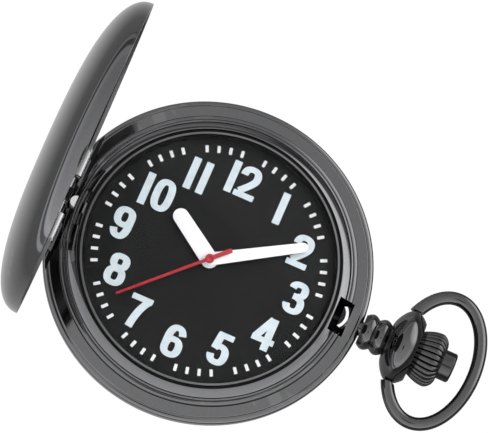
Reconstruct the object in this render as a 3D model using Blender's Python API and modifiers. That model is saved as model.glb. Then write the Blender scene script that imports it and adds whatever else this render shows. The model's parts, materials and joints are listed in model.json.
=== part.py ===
"""Hunter pocket watch with a sprung front cover, a push button in the crown and a quartz movement.

Frame: the origin is the centre of the flat on the case back, +Z is the dial's normal, +X points to the
crown at three o'clock and +Y to twelve o'clock. The cover stands open, as after a press of the button.
"""

import math

import bmesh
import bpy
from mathutils import Matrix, Vector

MM = 0.001

# Heights of the stack from the table up, in millimetres
BACK_WALL = 0.9
BOARD_CLEARANCE = 0.4
BOARD_THICKNESS = 0.3
SCREW_SPACE = 0.7
BRIDGE_THICKNESS = 0.5
TRAIN_SPACE = 2.1
PLATE_THICKNESS = 0.7
MOTION_SPACE = 1.5
DIAL_THICKNESS = 0.4

BOARD_Z = BACK_WALL + BOARD_CLEARANCE
BRIDGE_Z = BOARD_Z + BOARD_THICKNESS + SCREW_SPACE
BRIDGE_TOP = BRIDGE_Z + BRIDGE_THICKNESS
PLATE_Z = BRIDGE_TOP + TRAIN_SPACE
PLATE_TOP = PLATE_Z + PLATE_THICKNESS
DIAL_Z = PLATE_TOP + MOTION_SPACE
DIAL_TOP = DIAL_Z + DIAL_THICKNESS

# Radii from the movement out to the case band
PLATE_RADIUS = 14.6
DIAL_VIEW_RADIUS = 17.75
DIAL_RING_WIDTH = 0.55
GASKET_WIDTH = 0.3
BEZEL_WIDTH = 2.25
CASE_RADIUS = 23.53
BAND_THICKNESS = 1.93
FIT = 0.1
SEAT_GAP = 0.12
TURN_GAP = 0.06

DIAL_RADIUS = DIAL_VIEW_RADIUS + DIAL_RING_WIDTH
CRYSTAL_RADIUS = DIAL_RADIUS + FIT
BEZEL_INNER = CRYSTAL_RADIUS + GASKET_WIDTH + FIT
BEZEL_OUTER = BEZEL_INNER + BEZEL_WIDTH
BAND_INNER = CASE_RADIUS - BAND_THICKNESS
HOLDER_INNER = PLATE_RADIUS + SEAT_GAP
CAVITY_RADIUS = DIAL_RADIUS + 2 * FIT

# Case band and back
FLANGE_Z = DIAL_TOP - 1.2
BEZEL_SEAT_Z = DIAL_TOP - 0.35
COVER_SEAT_Z = DIAL_TOP + 0.08
BAND_WIDEST_Z = DIAL_TOP - 1.1
BAND_CORNER = 0.72
SEAT_FALL = 0.12
BAND_UNDERCUT = 1.28
BACK_FLAT_RADIUS = 13.5
BACK_RIM_Z = 3.25
BACK_LIP = 0.95
BACK_LIP_WALL = 0.75
BACK_GASKET_WIDTH = 0.55
BACK_GASKET_TOP = 0.7
BACK_SWEEP_DEG = 78.0
BAND_SWEEP_DEG = 72.0
BAND_SIDE_LEAN = 0.13

# Bezel and crystal
BEZEL_RISE = 1.5
BEZEL_SLOPE_WIDTH = 1.2
BEZEL_SLOPE_DROP = 0.8
BEZEL_STEPS = ((0.4, 0.12), (1.6, 0.1), (1.8, -0.06), (3.2, -0.14), (3.4, -0.3), (4.0, -0.42))
CRYSTAL_RISE = 0.95
CRYSTAL_EDGE = 0.45
CRYSTAL_DOME = 0.95
CRYSTAL_BEVEL = 0.18

# Front cover and its hinge
COVER_RADIUS = 23.1
COVER_DEPTH = 5.9
COVER_WALL = 0.55
COVER_LIP_WIDTH = 1.35
COVER_LIP_HEIGHT = 0.55
COVER_OPEN_DEG = 88.5
DOME_POWER_R = 3.0
DOME_POWER_Z = 2.3
HINGE_INSET = 0.64
HINGE_RISE = 1.075
KNUCKLE_RADIUS = 0.8
KNUCKLE_CENTRE_LENGTH = 5.6
KNUCKLE_SIDE_LENGTH = 4.25
KNUCKLE_GAP = 0.2
HINGE_PIN_RADIUS = 0.36
HINGE_RELIEF_DEPTH = 0.42
HINGE_RELIEF_STEP = 0.2
HINGE_POCKET_GAP = 0.22
CHEEK_REACH = 1.1
CHEEK_RISE = 0.35
CHEEK_DROP = 0.33
LUG_WIDTH = 1.8
LUG_REACH = 1.05
LUG_HEIGHT = 2.48
EDGE_BREAK = 0.12

COVER_RIM_Z = COVER_SEAT_Z + SEAT_GAP
COVER_LIP_RADIUS = COVER_RADIUS - COVER_LIP_WIDTH
HINGE_X = HINGE_INSET - COVER_RADIUS
HINGE_Z = COVER_RIM_Z + HINGE_RISE
NOTCH_WIDTH = KNUCKLE_CENTRE_LENGTH + 2 * KNUCKLE_GAP

# Lift spring under the hinge and latch spring beside the pendant
SPRING_RADIUS = 20.35
LIFT_WIDTH = 1.6
LIFT_THICKNESS = 0.4
LIFT_START_DEG = 118.0
LIFT_RISE = 0.52
LIFT_TIP_RADIUS = 0.85
LIFT_END_DEG = 182.0
LATCH_START_DEG = -25.0
LATCH_THICKNESS = 0.4
LATCH_HEIGHT = 1.5
LATCH_HOOK_LENGTH = 3.2
LATCH_HOOK_REACH = 0.72
LATCH_HOOK_RISE = 0.95
LATCH_HOOK_THICKNESS = 0.38
LATCH_TAB_THICKNESS = 0.5
LATCH_SLOT_LENGTH = 5.1
LATCH_SIDEWAYS = 0.25
SPRING_CLEARANCE = 0.3
SPRING_SCREW_RADIUS = 0.4
SPRING_SCREW_HEAD = 0.8
SPRING_SCREW_DEPTH = 0.45
SPRING_SCREW_HEIGHT = 0.4

# Pendant, crown, button and bow along the X axis
STEM_DROP = 1.25
STEM_RADIUS = 0.45
STEM_INNER_X = 8.5
SPIGOT_RADIUS = 1.05
SPIGOT_LENGTH = 0.75
BEAD_RADIUS = 2.65
BEAD_LENGTH = 1.9
BEAD_GROOVE_RADIUS = 2.2
BARREL_LENGTH = 4.3
BARREL_RADIUS = 5.45
BARREL_FLAT = 5.35
BARREL_NECK_RADIUS = 2.6
BARREL_WIDEST = 0.556
BARREL_SWELL = (
    (0.0, 0.0),
    (0.1, 0.4),
    (0.25, 0.7),
    (0.42, 0.92),
    (BARREL_WIDEST, 1.0),
    (0.75, 0.93),
    (0.88, 0.67),
)
BARREL_FACE_RADIUS = 3.5
CUP_DEPTH = 0.75
CROWN_LENGTH = 3.85
CROWN_RADIUS = 4.0
CROWN_INNER_RADIUS = 2.95
CROWN_END_RADIUS = 3.05
CROWN_SWELL = ((0.06, 0.6), (0.15, 0.92), (0.3, 1.0), (0.52, 0.85), (0.8, 0.3))
CROWN_FLUTES = 28
CROWN_FLUTE_DEPTH = 0.24
CROWN_NECK_RADIUS = 1.6
CROWN_NECK_LENGTH = 1.45
BUTTON_RADIUS = 2.16
BUTTON_STANDS = 1.9
BUTTON_DEPTH = 1.5
BUTTON_DOME = 0.22
BUTTON_CHAMFER = 0.3
BUTTON_TRAVEL = 1.0
CROWN_FLOOR = 1.2
SPRING_WIRE = 0.3
SPRING_COIL_RADIUS = 1.25
SPRING_TURNS = 3.5
SPRING_SIDES = 7
COLLAR_RADIUS = 0.95
COLLAR_LENGTH = 0.5
BOW_WIRE = 1.9
BOW_HALF_LENGTH = 6.0
BOW_HALF_WIDTH = 9.63
BOW_PEG_RADIUS = 0.52
BOW_PEG_LENGTH = 1.5
BOW_SEAT_GAP = 0.25
BOW_POINTS = 27

STEM_Z = DIAL_TOP - STEM_DROP
PENDANT_X = CASE_RADIUS + FIT / 2
BEAD_X = PENDANT_X + FIT / 2
BARREL_X = BEAD_X + 2 * BEAD_LENGTH + FIT / 2
BARREL_END = BARREL_X + BARREL_LENGTH
BOW_X = BARREL_X + BARREL_WIDEST * BARREL_LENGTH
CROWN_X = BARREL_END - CUP_DEPTH + 2 * FIT
CROWN_END = CROWN_X + CUP_DEPTH + CROWN_LENGTH
BUTTON_END = CROWN_END + BUTTON_STANDS
BUTTON_X = CROWN_END - BUTTON_DEPTH
LATCH_FACE = SPRING_RADIUS + LATCH_THICKNESS / 2
COLLAR_X = LATCH_FACE + SPRING_CLEARANCE

# Movement
WHEEL_THICKNESS = 0.2
TRAIN_STEP = TRAIN_SPACE / 7
MOTION_STEP = MOTION_SPACE / 6
TOOTH_TIP = 0.8
TOOTH_ROOT = 0.75
LEAF_TIP = 0.55
LEAF_ROOT = 1.0
LEAF_HALF_WIDTH = 0.17
# Heights of the going train, in train steps above the bridge
WHEEL_STEPS = {"seconds": 0.6, "third": 2.1, "fifth": 2.7, "centre": 4.7}
PINION_STEPS = {"seconds": (1.1, 3.3), "third": (2.5, 6.0), "fifth": (0.4, 2.9), "rotor": (2.1, 4.2)}
MAGNET_STEPS = (0.8, 2.2)
STATOR_STEPS = (0.9, 2.2)
# Heights of the motion work, in motion steps above the plate
CANNON_STEPS = (0.8, 2.9)
MOTION_WHEEL_STEPS = {"minute": 1.2, "hour": 3.6}
MINUTE_PINION_TOP_STEPS = 5.2
MINUTE_BORE_STEPS = (0.5, 6.0)
PINION_LEAVES = 6
THIRD_TEETH = 45
CENTRE_TEETH = 48
SECONDS_TEETH = 30
FIFTH_TEETH = 36
CANNON_TEETH = 8
MINUTE_TEETH = 24
HOUR_TEETH = 24
THIRD_DISTANCE = 5.1
THIRD_DEG = 290.0
FIFTH_DISTANCE = 5.4
FIFTH_DEG = 90.0
ROTOR_DISTANCE = 2.8
ROTOR_DEG = 70.0
MOTION_DISTANCE = 4.8
MOTION_DEG = 40.0
ARBOR_RADIUS = 0.22
PIVOT_RADIUS = 0.14
SECONDS_ARBOR_RADIUS = 0.14
CENTRE_TUBE_WALL = 0.12
CANNON_WALL = 0.14
HOUR_PIPE_WALL = 0.2
ROTOR_RADIUS = 0.75
BATTERY_RADIUS = 3.95
BATTERY_HEIGHT = 2.6
BATTERY_X = -9.6
BATTERY_CAP_RADIUS = 3.16
BATTERY_CAP_HEIGHT = 0.35
CLAMP_THICKNESS = 0.2
COIL_RADIUS = 1.1
COIL_Y = 11.0
CORE_ENDS = (-3.6, 6.2)
CORE_THICKNESS = 0.3
STATOR_HALF_BAR = 1.35
STATOR_HALF_LEG = 0.9
CLUTCH_RADIUS = 0.75
CLUTCH_ROOT = 0.6
CLUTCH_LENGTH = 1.8
CLUTCH_TEETH = 8
SCREW_HEAD_RADIUS = 0.85
SCREW_HEAD_HEIGHT = 0.45
BOARD_SCREW_HEIGHT = 0.25
SCREW_SLOT = 0.2
PILLAR_RADIUS = 0.8
MINUTE_POST_RADIUS = 0.3
BRIDGE_PILLARS = ((0.5, -11.2), (6.9, 3.4), (-5.6, 5.2))
BRIDGE_MARGIN = 1.4
BOARD_PILLARS = ((11.2, 2.2), (4.4, -11.4))
BOARD_CORNERS = (BOARD_PILLARS[1], (11.4, -6.6), (12.0, 2.2), (8.6, 8.6), (1.5, 9.6), (0.6, -8.0))
BOARD_MARGIN = 1.2
CLAMP_PILLAR = (-7.2, -6.6)
CLAMP_MARGIN = 1.1
CAN_RADIUS = 1.0
CAN_ENDS = (6.6, 11.6)
CAN_Y = -7.5
CHIP_CORNER = (8.2, -2.6)
CHIP_SIDE = 2.8
CHIP_HEIGHT = 0.7
HOLDER_LEDGE = 1.0
HOLDER_DEPTH = 3.0

CENTRE_TUBE_INNER = SECONDS_ARBOR_RADIUS + TURN_GAP
CENTRE_TUBE_OUTER = CENTRE_TUBE_INNER + CENTRE_TUBE_WALL
CANNON_INNER = CENTRE_TUBE_OUTER + TURN_GAP
CANNON_OUTER = CANNON_INNER + CANNON_WALL
HOUR_PIPE_INNER = CANNON_OUTER + 1.3 * TURN_GAP
HOUR_PIPE_OUTER = HOUR_PIPE_INNER + HOUR_PIPE_WALL

# Hands, at nine and a half minutes past ten
HAND_THICKNESS = 0.15
HAND_STEP = 0.33
HOUR_HAND_LENGTH = 8.55
HOUR_HAND_WIDTH = 2.28
HOUR_HAND_DEG = 145.8
MINUTE_HAND_LENGTH = 14.1
MINUTE_HAND_WIDTH = 1.37
MINUTE_TIP_WIDTH = 1.3
MINUTE_HAND_DEG = 31.4
SECOND_HAND_LENGTH = 14.2
SECOND_HAND_TAIL = 3.4
SECOND_HAND_WIDTH = 0.46
SECOND_TAIL_WIDTH = 0.64
SECOND_HUB_RADIUS = 0.66
SECOND_HAND_DEG = 224.8
HUB_MARGIN = 0.32
HUB_CAP_HEIGHT = 0.12

HOUR_HAND_Z = DIAL_TOP + HAND_STEP
MINUTE_HAND_Z = HOUR_HAND_Z + HAND_STEP
SECOND_HAND_Z = MINUTE_HAND_Z + HAND_STEP

# Facets round each kind of turned piece
CASE_FACETS = 38
CELL_FACETS = 24
PENDANT_FACETS = 20
SMALL_FACETS = 12
ARBOR_FACETS = 8

# Finishes as colour, roughness and metallic value
FINISHES = {
    "gunmetal": ((0.13, 0.13, 0.135), 0.16, 1.0),
    "steel": ((0.55, 0.55, 0.56), 0.28, 1.0),
    "brass": ((0.62, 0.46, 0.2), 0.3, 1.0),
    "black_dial": ((0.012, 0.012, 0.013), 0.55, 0.0),
    "black_rubber": ((0.01, 0.01, 0.01), 0.7, 0.0),
    "white_enamel": ((0.85, 0.86, 0.87), 0.4, 0.0),
    "red_enamel": ((0.45, 0.02, 0.03), 0.4, 0.0),
    "glass": ((0.95, 0.96, 0.97), 0.03, 0.0),
    "holder_plastic": ((0.6, 0.6, 0.58), 0.5, 0.0),
    "board_green": ((0.02, 0.12, 0.05), 0.5, 0.0),
    "copper_wire": ((0.6, 0.25, 0.1), 0.35, 1.0),
}


def clear_scene():
    for obj in list(bpy.data.objects):
        bpy.data.objects.remove(obj)


def new_collection(name, hidden=False):
    collection = bpy.data.collections.new(name)
    collection.hide_render = hidden
    bpy.context.scene.collection.children.link(collection)
    return collection


def make_finish(name):
    colour, roughness, metallic = FINISHES[name]
    material = bpy.data.materials.new(name)
    material.use_nodes = True
    shader = material.node_tree.nodes["Principled BSDF"]
    shader.inputs["Base Color"].default_value = (*colour, 1.0)
    shader.inputs["Roughness"].default_value = roughness
    shader.inputs["Metallic"].default_value = metallic
    if name == "glass":
        shader.inputs["Transmission Weight"].default_value = 1.0
    return material


clear_scene()
WATCH = new_collection("hunter_pocket_watch")
CUTTERS = new_collection("watch_cutters", hidden=True)
MATERIALS = {name: make_finish(name) for name in FINISHES}


# Shared shapes: every helper takes millimetres and gives a mesh in metres


def polar(radius, degrees):
    """The point at this distance and angle, counted from +X towards +Y."""
    angle = math.radians(degrees)
    return radius * math.cos(angle), radius * math.sin(angle)


def arc(centre, radius, start_deg, end_deg, count):
    """Points along an arc, both ends included."""
    step = (end_deg - start_deg) / (count - 1)
    turns = [polar(radius, start_deg + step * i) for i in range(count)]
    return [(centre[0] + x, centre[1] + y) for x, y in turns]


def circle(radius, sides, centre=(0.0, 0.0)):
    return arc(centre, radius, 0.0, 360.0 * (1 - 1 / sides), sides)


def rounded_hull(points, radius, per_corner=4):
    """The outline of circles of one radius at the corners of a convex polygon that runs anticlockwise."""
    outline = []
    count = len(points)
    for i, corner in enumerate(points):
        before = points[i - 1]
        after = points[(i + 1) % count]
        start = math.degrees(math.atan2(corner[1] - before[1], corner[0] - before[0])) - 90
        end = math.degrees(math.atan2(after[1] - corner[1], after[0] - corner[0])) - 90
        outline += arc(corner, radius, start, start + (end - start) % 360, per_corner)
    return outline


def weld(mesh, scale=1.0, lift=0.0):
    shape = bmesh.new()
    shape.from_mesh(mesh)
    bmesh.ops.scale(shape, vec=(scale, scale, scale), verts=shape.verts)
    bmesh.ops.translate(shape, vec=(0, 0, lift), verts=shape.verts)
    bmesh.ops.remove_doubles(shape, verts=shape.verts, dist=1e-7)
    bmesh.ops.recalc_face_normals(shape, faces=shape.faces)
    shape.to_mesh(mesh)
    shape.free()
    return mesh


def evaluated_mesh(name, data, modify=None):
    """The mesh of a guide object made from a curve or profile, which is then removed."""
    guide = bpy.data.objects.new(name, data)
    bpy.context.scene.collection.objects.link(guide)
    if modify:
        modify(guide)
    graph = bpy.context.evaluated_depsgraph_get()
    graph.update()
    mesh = bpy.data.meshes.new_from_object(guide.evaluated_get(graph))
    bpy.data.objects.remove(guide)
    return mesh


def extruded(outlines, low, high):
    """Flat outlines, holes included, as a plate between two heights."""
    curve = bpy.data.curves.new("outline", "CURVE")
    curve.dimensions = "2D"
    curve.fill_mode = "BOTH"
    curve.extrude = (high - low) / 2
    for outline in outlines:
        spline = curve.splines.new("POLY")
        spline.points.add(len(outline) - 1)
        spline.use_cyclic_u = True
        for point, (x, y) in zip(spline.points, outline):
            point.co = (x, y, 0.0, 1.0)
    return weld(evaluated_mesh("outline", curve), MM, (low + high) / 2 * MM)


def screw_modifier(obj, facets):
    screw = obj.modifiers.new("turn", "SCREW")
    screw.steps = facets
    screw.render_steps = facets
    screw.use_merge_vertices = True
    screw.merge_threshold = 1e-6
    screw.use_smooth_shade = True


def profile_mesh(profile, ring):
    mesh = bpy.data.meshes.new("profile")
    points = [(radius * MM, 0.0, height * MM) for radius, height in profile]
    edges = [(i, i + 1) for i in range(len(points) - 1)]
    if ring:
        edges.append((len(points) - 1, 0))
    mesh.from_pydata(points, edges, [])
    return mesh


def turned(profile, facets, ring=True):
    """A turned solid. A ring's profile is a closed loop, and any other starts and ends on the axis."""
    outline = profile_mesh(profile, ring)
    return weld(evaluated_mesh("turning", outline, lambda guide: screw_modifier(guide, facets)))


def tube_profile(inner, outer, low, high):
    return [(inner, high), (outer, high), (outer, low), (inner, low)]


def rod_profile(radius, low, high):
    return [(0.0, high), (radius, high), (radius, low), (0.0, low)]


def rod(radius, low, high, facets=SMALL_FACETS, centre=(0.0, 0.0), axis="Z"):
    """A round rod along one axis. centre is the pair of other coordinates, in X, Y, Z order."""
    shape = bmesh.new()
    bmesh.ops.create_cone(
        shape,
        cap_ends=True,
        segments=facets,
        radius1=radius * MM,
        radius2=radius * MM,
        depth=(high - low) * MM,
    )
    middle = (low + high) / 2
    turn = {
        "X": Matrix.Rotation(math.pi / 2, 3, "Y"),
        "Y": Matrix.Rotation(-math.pi / 2, 3, "X"),
        "Z": Matrix.Identity(3),
    }[axis]
    place = {
        "X": (middle, *centre),
        "Y": (centre[0], middle, centre[1]),
        "Z": (*centre, middle),
    }[axis]
    bmesh.ops.rotate(shape, matrix=turn, verts=shape.verts)
    bmesh.ops.translate(shape, vec=Vector(place) * MM, verts=shape.verts)
    mesh = bpy.data.meshes.new("rod")
    shape.to_mesh(mesh)
    shape.free()
    return mesh


def box(low, high):
    shape = bmesh.new()
    bmesh.ops.create_cube(shape, size=1.0)
    size = [(b - a) * MM for a, b in zip(low, high)]
    middle = [(a + b) / 2 * MM for a, b in zip(low, high)]
    bmesh.ops.scale(shape, vec=size, verts=shape.verts)
    bmesh.ops.translate(shape, vec=middle, verts=shape.verts)
    mesh = bpy.data.meshes.new("box")
    shape.to_mesh(mesh)
    shape.free()
    return mesh


def place(name, mesh, finish, location=(0.0, 0.0, 0.0), rotation=(0.0, 0.0, 0.0)):
    """A named part of the watch, with its origin at this place in millimetres."""
    mesh.name = name
    mesh.materials.clear()
    mesh.materials.append(MATERIALS[finish])
    mesh.shade_smooth()
    mesh.set_sharp_from_angle(angle=math.radians(35))
    obj = bpy.data.objects.new(name, mesh)
    obj.location = [value * MM for value in location]
    obj.rotation_euler = rotation
    WATCH.objects.link(obj)
    return obj


def change(part, mesh, operation):
    """Joins a shape to a part or cuts it away. The shape is in the part's own frame."""
    helper = bpy.data.objects.new(f"{part.name}_{operation.lower()}", mesh)
    helper.parent = part
    helper.hide_render = True
    helper.display_type = "WIRE"
    CUTTERS.objects.link(helper)
    boolean = part.modifiers.new(operation.lower(), "BOOLEAN")
    boolean.operation = operation
    boolean.object = helper
    return helper


def cut(part, mesh):
    return change(part, mesh, "DIFFERENCE")


def join(part, mesh):
    return change(part, mesh, "UNION")


AXIS_ALONG_X = (0.0, math.pi / 2, 0.0)


def dome(radius, height, count):
    """A flattened dome from its top down to its rim: radius and height follow unequal powers."""
    points = []
    for i in range(count):
        turn = math.pi / 2 * i / (count - 1)
        across = radius * math.sin(turn) ** (2 / DOME_POWER_R)
        rise = height * max(math.cos(turn), 0.0) ** (2 / DOME_POWER_Z)
        points.append((across, rise))
    return points


# Case


def back_rim_radius():
    return CASE_RADIUS - BAND_UNDERCUT - FIT / 2


def back_curve(radius_in, height, count):
    """The bowl of the back from the edge of its flat up to the rim, as a quarter of an ellipse."""
    span = radius_in - BACK_FLAT_RADIUS
    sweep = math.radians(BACK_SWEEP_DEG)
    points = []
    for i in range(count):
        turn = sweep * i / (count - 1)
        share = math.sin(turn) / math.sin(sweep)
        rise = (1 - math.cos(turn)) / (1 - math.cos(sweep))
        points.append((BACK_FLAT_RADIUS + span * share, height * rise))
    return points


def make_case_back():
    rim = back_rim_radius()
    outside = back_curve(rim, BACK_RIM_Z, 6)
    lip_outer = BAND_INNER - BACK_GASKET_WIDTH
    lip_inner = lip_outer - BACK_LIP_WALL
    inside = [(r, z + BACK_WALL) for r, z in back_curve(lip_inner, BACK_RIM_Z - BACK_WALL, 3)]
    profile = [(0.0, BACK_WALL)] + inside + [(lip_inner, BACK_RIM_Z + BACK_LIP)]
    profile += [(lip_outer, BACK_RIM_Z + BACK_LIP), (lip_outer, BACK_RIM_Z)]
    profile += list(reversed(outside)) + [(0.0, 0.0)]
    place("case_back", turned(profile, CASE_FACETS, ring=False), "gunmetal")
    low = BACK_RIM_Z + 2 * FIT
    gasket = tube_profile(lip_outer + FIT / 2, BAND_INNER - FIT / 2, low, BACK_RIM_Z + BACK_GASKET_TOP)
    place("back_gasket", turned(gasket, CASE_FACETS), "black_rubber")


def make_case_middle():
    corner = (CASE_RADIUS - BAND_SIDE_LEAN - BAND_CORNER, COVER_SEAT_Z - SEAT_FALL - BAND_CORNER)
    bottom_z = BACK_RIM_Z + FIT
    drop = BAND_WIDEST_Z - bottom_z
    sweep = math.radians(BAND_SWEEP_DEG)
    outside = arc(corner, BAND_CORNER, 90, 0, 4) + [(CASE_RADIUS, BAND_WIDEST_Z)]
    for i in range(1, 5):
        turn = sweep * i / 4
        inward = BAND_UNDERCUT * (1 - math.cos(turn)) / (1 - math.cos(sweep))
        outside.append((CASE_RADIUS - inward, BAND_WIDEST_Z - drop * math.sin(turn) / math.sin(sweep)))
    seat_inner = BEZEL_OUTER + FIT / 2
    profile = [(CAVITY_RADIUS, BEZEL_SEAT_Z), (seat_inner, BEZEL_SEAT_Z), (seat_inner, COVER_SEAT_Z)]
    profile += outside + [(BAND_INNER, bottom_z), (BAND_INNER, FLANGE_Z), (CAVITY_RADIUS, FLANGE_Z)]
    case = place("case_middle", turned(profile, CASE_FACETS), "gunmetal")

    relief_low = (-CASE_RADIUS - 1, -CASE_RADIUS, COVER_SEAT_Z - HINGE_RELIEF_DEPTH)
    cut(case, box(relief_low, (pocket_wall_x() - HINGE_RELIEF_STEP, CASE_RADIUS, COVER_SEAT_Z + 1)))
    cut(case, hinge_pocket())
    half_knuckle = KNUCKLE_CENTRE_LENGTH / 2
    neck_ends = [(HINGE_X, FLANGE_Z + KNUCKLE_RADIUS), (HINGE_X, HINGE_Z)]
    neck = rounded_hull(neck_ends, KNUCKLE_RADIUS, per_corner=7)
    join(case, upright(neck, -half_knuckle, half_knuckle))
    reach = KNUCKLE_CENTRE_LENGTH
    cut(case, rod(HINGE_PIN_RADIUS + TURN_GAP, -reach, reach, SMALL_FACETS, (HINGE_X, HINGE_Z), "Y"))
    cut(case, latch_slot())
    cut(case, lift_slot())
    cut(case, rod(SPIGOT_RADIUS + FIT, BAND_INNER - 1, CASE_RADIUS + 1, SMALL_FACETS, (0.0, STEM_Z), "X"))
    cut(case, rod(STEM_RADIUS + 2 * FIT, CAVITY_RADIUS - 1, BAND_INNER, SMALL_FACETS, (0.0, STEM_Z), "X"))
    hole_top = FLANGE_Z + SPRING_SCREW_DEPTH + FIT
    for degrees in (LATCH_START_DEG, LIFT_START_DEG):
        at = polar(SPRING_RADIUS, degrees)
        cut(case, rod(SPRING_SCREW_RADIUS + FIT / 2, FLANGE_Z - 1, hole_top, centre=at))


def upright(outline, near, far):
    """A plate whose outline is drawn in X and Z, standing between two values of Y."""
    mesh = extruded([outline], -far, -near)
    mesh.transform(Matrix.Rotation(math.pi / 2, 4, "X"))
    return mesh


def latch_slot():
    outer = LATCH_FACE + LATCH_HOOK_REACH + FIT
    inner = SPRING_RADIUS - LATCH_THICKNESS / 2 - BUTTON_TRAVEL - FIT
    half = LATCH_SLOT_LENGTH / 2
    return box((inner, -half, FLANGE_Z - 1), (outer, half, DIAL_TOP + BEZEL_RISE + 1))


def pocket_wall_x():
    return HINGE_X + CHEEK_REACH + KNUCKLE_RADIUS + HINGE_POCKET_GAP


def hinge_pocket():
    """The deeper middle of the hinge relief, where the cheeks of the cover swing."""
    half = NOTCH_WIDTH / 2 + KNUCKLE_SIDE_LENGTH + KNUCKLE_GAP
    low = (-CASE_RADIUS - 1, -half, COVER_SEAT_Z - HINGE_RELIEF_DEPTH)
    return box(low, (pocket_wall_x(), half, DIAL_TOP + BEZEL_RISE + 1))


def lift_slot():
    half = LIFT_TIP_RADIUS + SPRING_CLEARANCE
    outer = lift_tip_outer() - SPRING_CLEARANCE
    inner = lift_tip_inner() + SPRING_CLEARANCE
    return box((outer, -half, FLANGE_Z - 1), (inner, half, DIAL_TOP + BEZEL_RISE + 1))


def lift_tip_outer():
    return lift_tip_inner() - LIFT_TIP_RADIUS


def lift_tip_inner():
    return lug_low_x() + LUG_REACH


def lug_low_x():
    return HINGE_X + KNUCKLE_RADIUS + 1.5 * FIT


def make_bezel():
    top = DIAL_TOP + BEZEL_RISE
    slope_end = BEZEL_INNER + BEZEL_SLOPE_WIDTH
    step = (BEZEL_OUTER - slope_end) / 4
    low = top - BEZEL_SLOPE_DROP
    seat = BEZEL_SEAT_Z + FIT / 2
    crest = BEZEL_INNER + EDGE_BREAK
    profile = [(BEZEL_INNER, seat), (BEZEL_INNER, top - 2 * EDGE_BREAK), (crest, top)]
    for i in range(1, 5):
        share = i / 4
        profile.append((crest + (slope_end - crest) * share, top - BEZEL_SLOPE_DROP * share**1.6))
    profile += [(slope_end + along * step, low + rise) for along, rise in BEZEL_STEPS]
    profile.append((BEZEL_OUTER, seat))
    bezel = place("bezel", turned(profile, CASE_FACETS), "gunmetal")
    cut(bezel, latch_slot())
    cut(bezel, lift_slot())
    cut(bezel, hinge_pocket())


def make_crystal():
    bottom = DIAL_TOP + CRYSTAL_RISE
    edge_top = bottom + CRYSTAL_EDGE
    shoulder = CRYSTAL_RADIUS - CRYSTAL_BEVEL
    profile = [(0.0, edge_top + CRYSTAL_BEVEL + CRYSTAL_DOME)]
    for i in range(1, 5):
        share = i / 4
        profile.append((shoulder * share, edge_top + CRYSTAL_BEVEL + CRYSTAL_DOME * (1 - share**2)))
    profile += [(CRYSTAL_RADIUS, edge_top), (CRYSTAL_RADIUS, bottom), (DIAL_VIEW_RADIUS, bottom)]
    for i in range(3, -1, -1):
        share = i / 4
        profile.append((DIAL_VIEW_RADIUS * share, bottom + CRYSTAL_DOME * (1 - share**2)))
    place("crystal", turned(profile, CASE_FACETS, ring=False), "glass")
    inner = CRYSTAL_RADIUS + FIT / 2
    gasket = tube_profile(inner, BEZEL_INNER - FIT / 2, BEZEL_SEAT_Z + FIT, edge_top - FIT / 2)
    place("crystal_gasket", turned(gasket, CASE_FACETS), "black_rubber")
    ring = tube_profile(DIAL_VIEW_RADIUS, DIAL_RADIUS, DIAL_TOP + FIT / 2, bottom - FIT / 2)
    place("dial_ring", turned(ring, CASE_FACETS), "black_dial")


def make_front_cover():
    """The cover is modelled closed round its hinge axis and then swung open about it."""
    rim = COVER_RIM_Z - HINGE_Z
    outside = [(r, rim + h) for r, h in dome(COVER_RADIUS, COVER_DEPTH, 10)]
    inside = [(r, rim + h) for r, h in dome(COVER_RADIUS - COVER_WALL, COVER_DEPTH - COVER_WALL, 7)]
    lip_top = rim + COVER_LIP_HEIGHT
    inside = [point for point in inside if point[1] > lip_top]
    profile = outside[:-1] + [(COVER_RADIUS, rim + EDGE_BREAK), (COVER_RADIUS - EDGE_BREAK, rim)]
    profile += [(COVER_LIP_RADIUS, rim), (COVER_LIP_RADIUS, lip_top), (COVER_RADIUS - COVER_WALL, lip_top)]
    profile += list(reversed(inside))
    mesh = turned(profile, CASE_FACETS, ring=False)
    mesh.transform(Matrix.Translation((-HINGE_X * MM, 0, 0)))
    opened = (0.0, -math.radians(COVER_OPEN_DEG), 0.0)
    cover = place("front_cover", mesh, "gunmetal", (HINGE_X, 0.0, HINGE_Z), opened)
    half_notch = NOTCH_WIDTH / 2
    clear = KNUCKLE_RADIUS + KNUCKLE_GAP
    cut(cover, box((-clear - 2, -half_notch, rim - 1), (KNUCKLE_RADIUS + FIT, half_notch, clear)))
    cheek_low = rim + KNUCKLE_RADIUS - CHEEK_DROP
    cheek_corners = [(0.0, 0.0), (CHEEK_REACH, cheek_low), (CHEEK_REACH, CHEEK_RISE)]
    cheek = rounded_hull(cheek_corners, KNUCKLE_RADIUS - 0.02, per_corner=4)
    for side in (-1, 1):
        ends = sorted((side * half_notch, side * (half_notch + KNUCKLE_SIDE_LENGTH)))
        join(cover, upright(cheek, *ends))
    lug_low = lug_low_x() - HINGE_X
    half_lug = LUG_WIDTH / 2
    join(cover, box((lug_low, -half_lug, rim), (lug_low + LUG_REACH, half_lug, rim + LUG_HEIGHT)))
    hole_end = half_notch + KNUCKLE_SIDE_LENGTH + 1
    cut(cover, rod(HINGE_PIN_RADIUS + TURN_GAP, -hole_end, hole_end, axis="Y"))


def make_hinge_pin():
    half = NOTCH_WIDTH / 2 + KNUCKLE_SIDE_LENGTH - FIT
    place("hinge_pin", rod(HINGE_PIN_RADIUS, -half, half, axis="Y"), "steel", (HINGE_X, 0, HINGE_Z))


def spring_arc(inner, outer, start_deg, end_deg, count):
    return arc((0, 0), outer, start_deg, end_deg, count) + arc((0, 0), inner, end_deg, start_deg, count)


def shifted(mesh, origin):
    """Moves a mesh drawn in the watch's frame into the frame of a part whose origin is here."""
    mesh.transform(Matrix.Translation([-value * MM for value in origin]))
    return mesh


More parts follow.
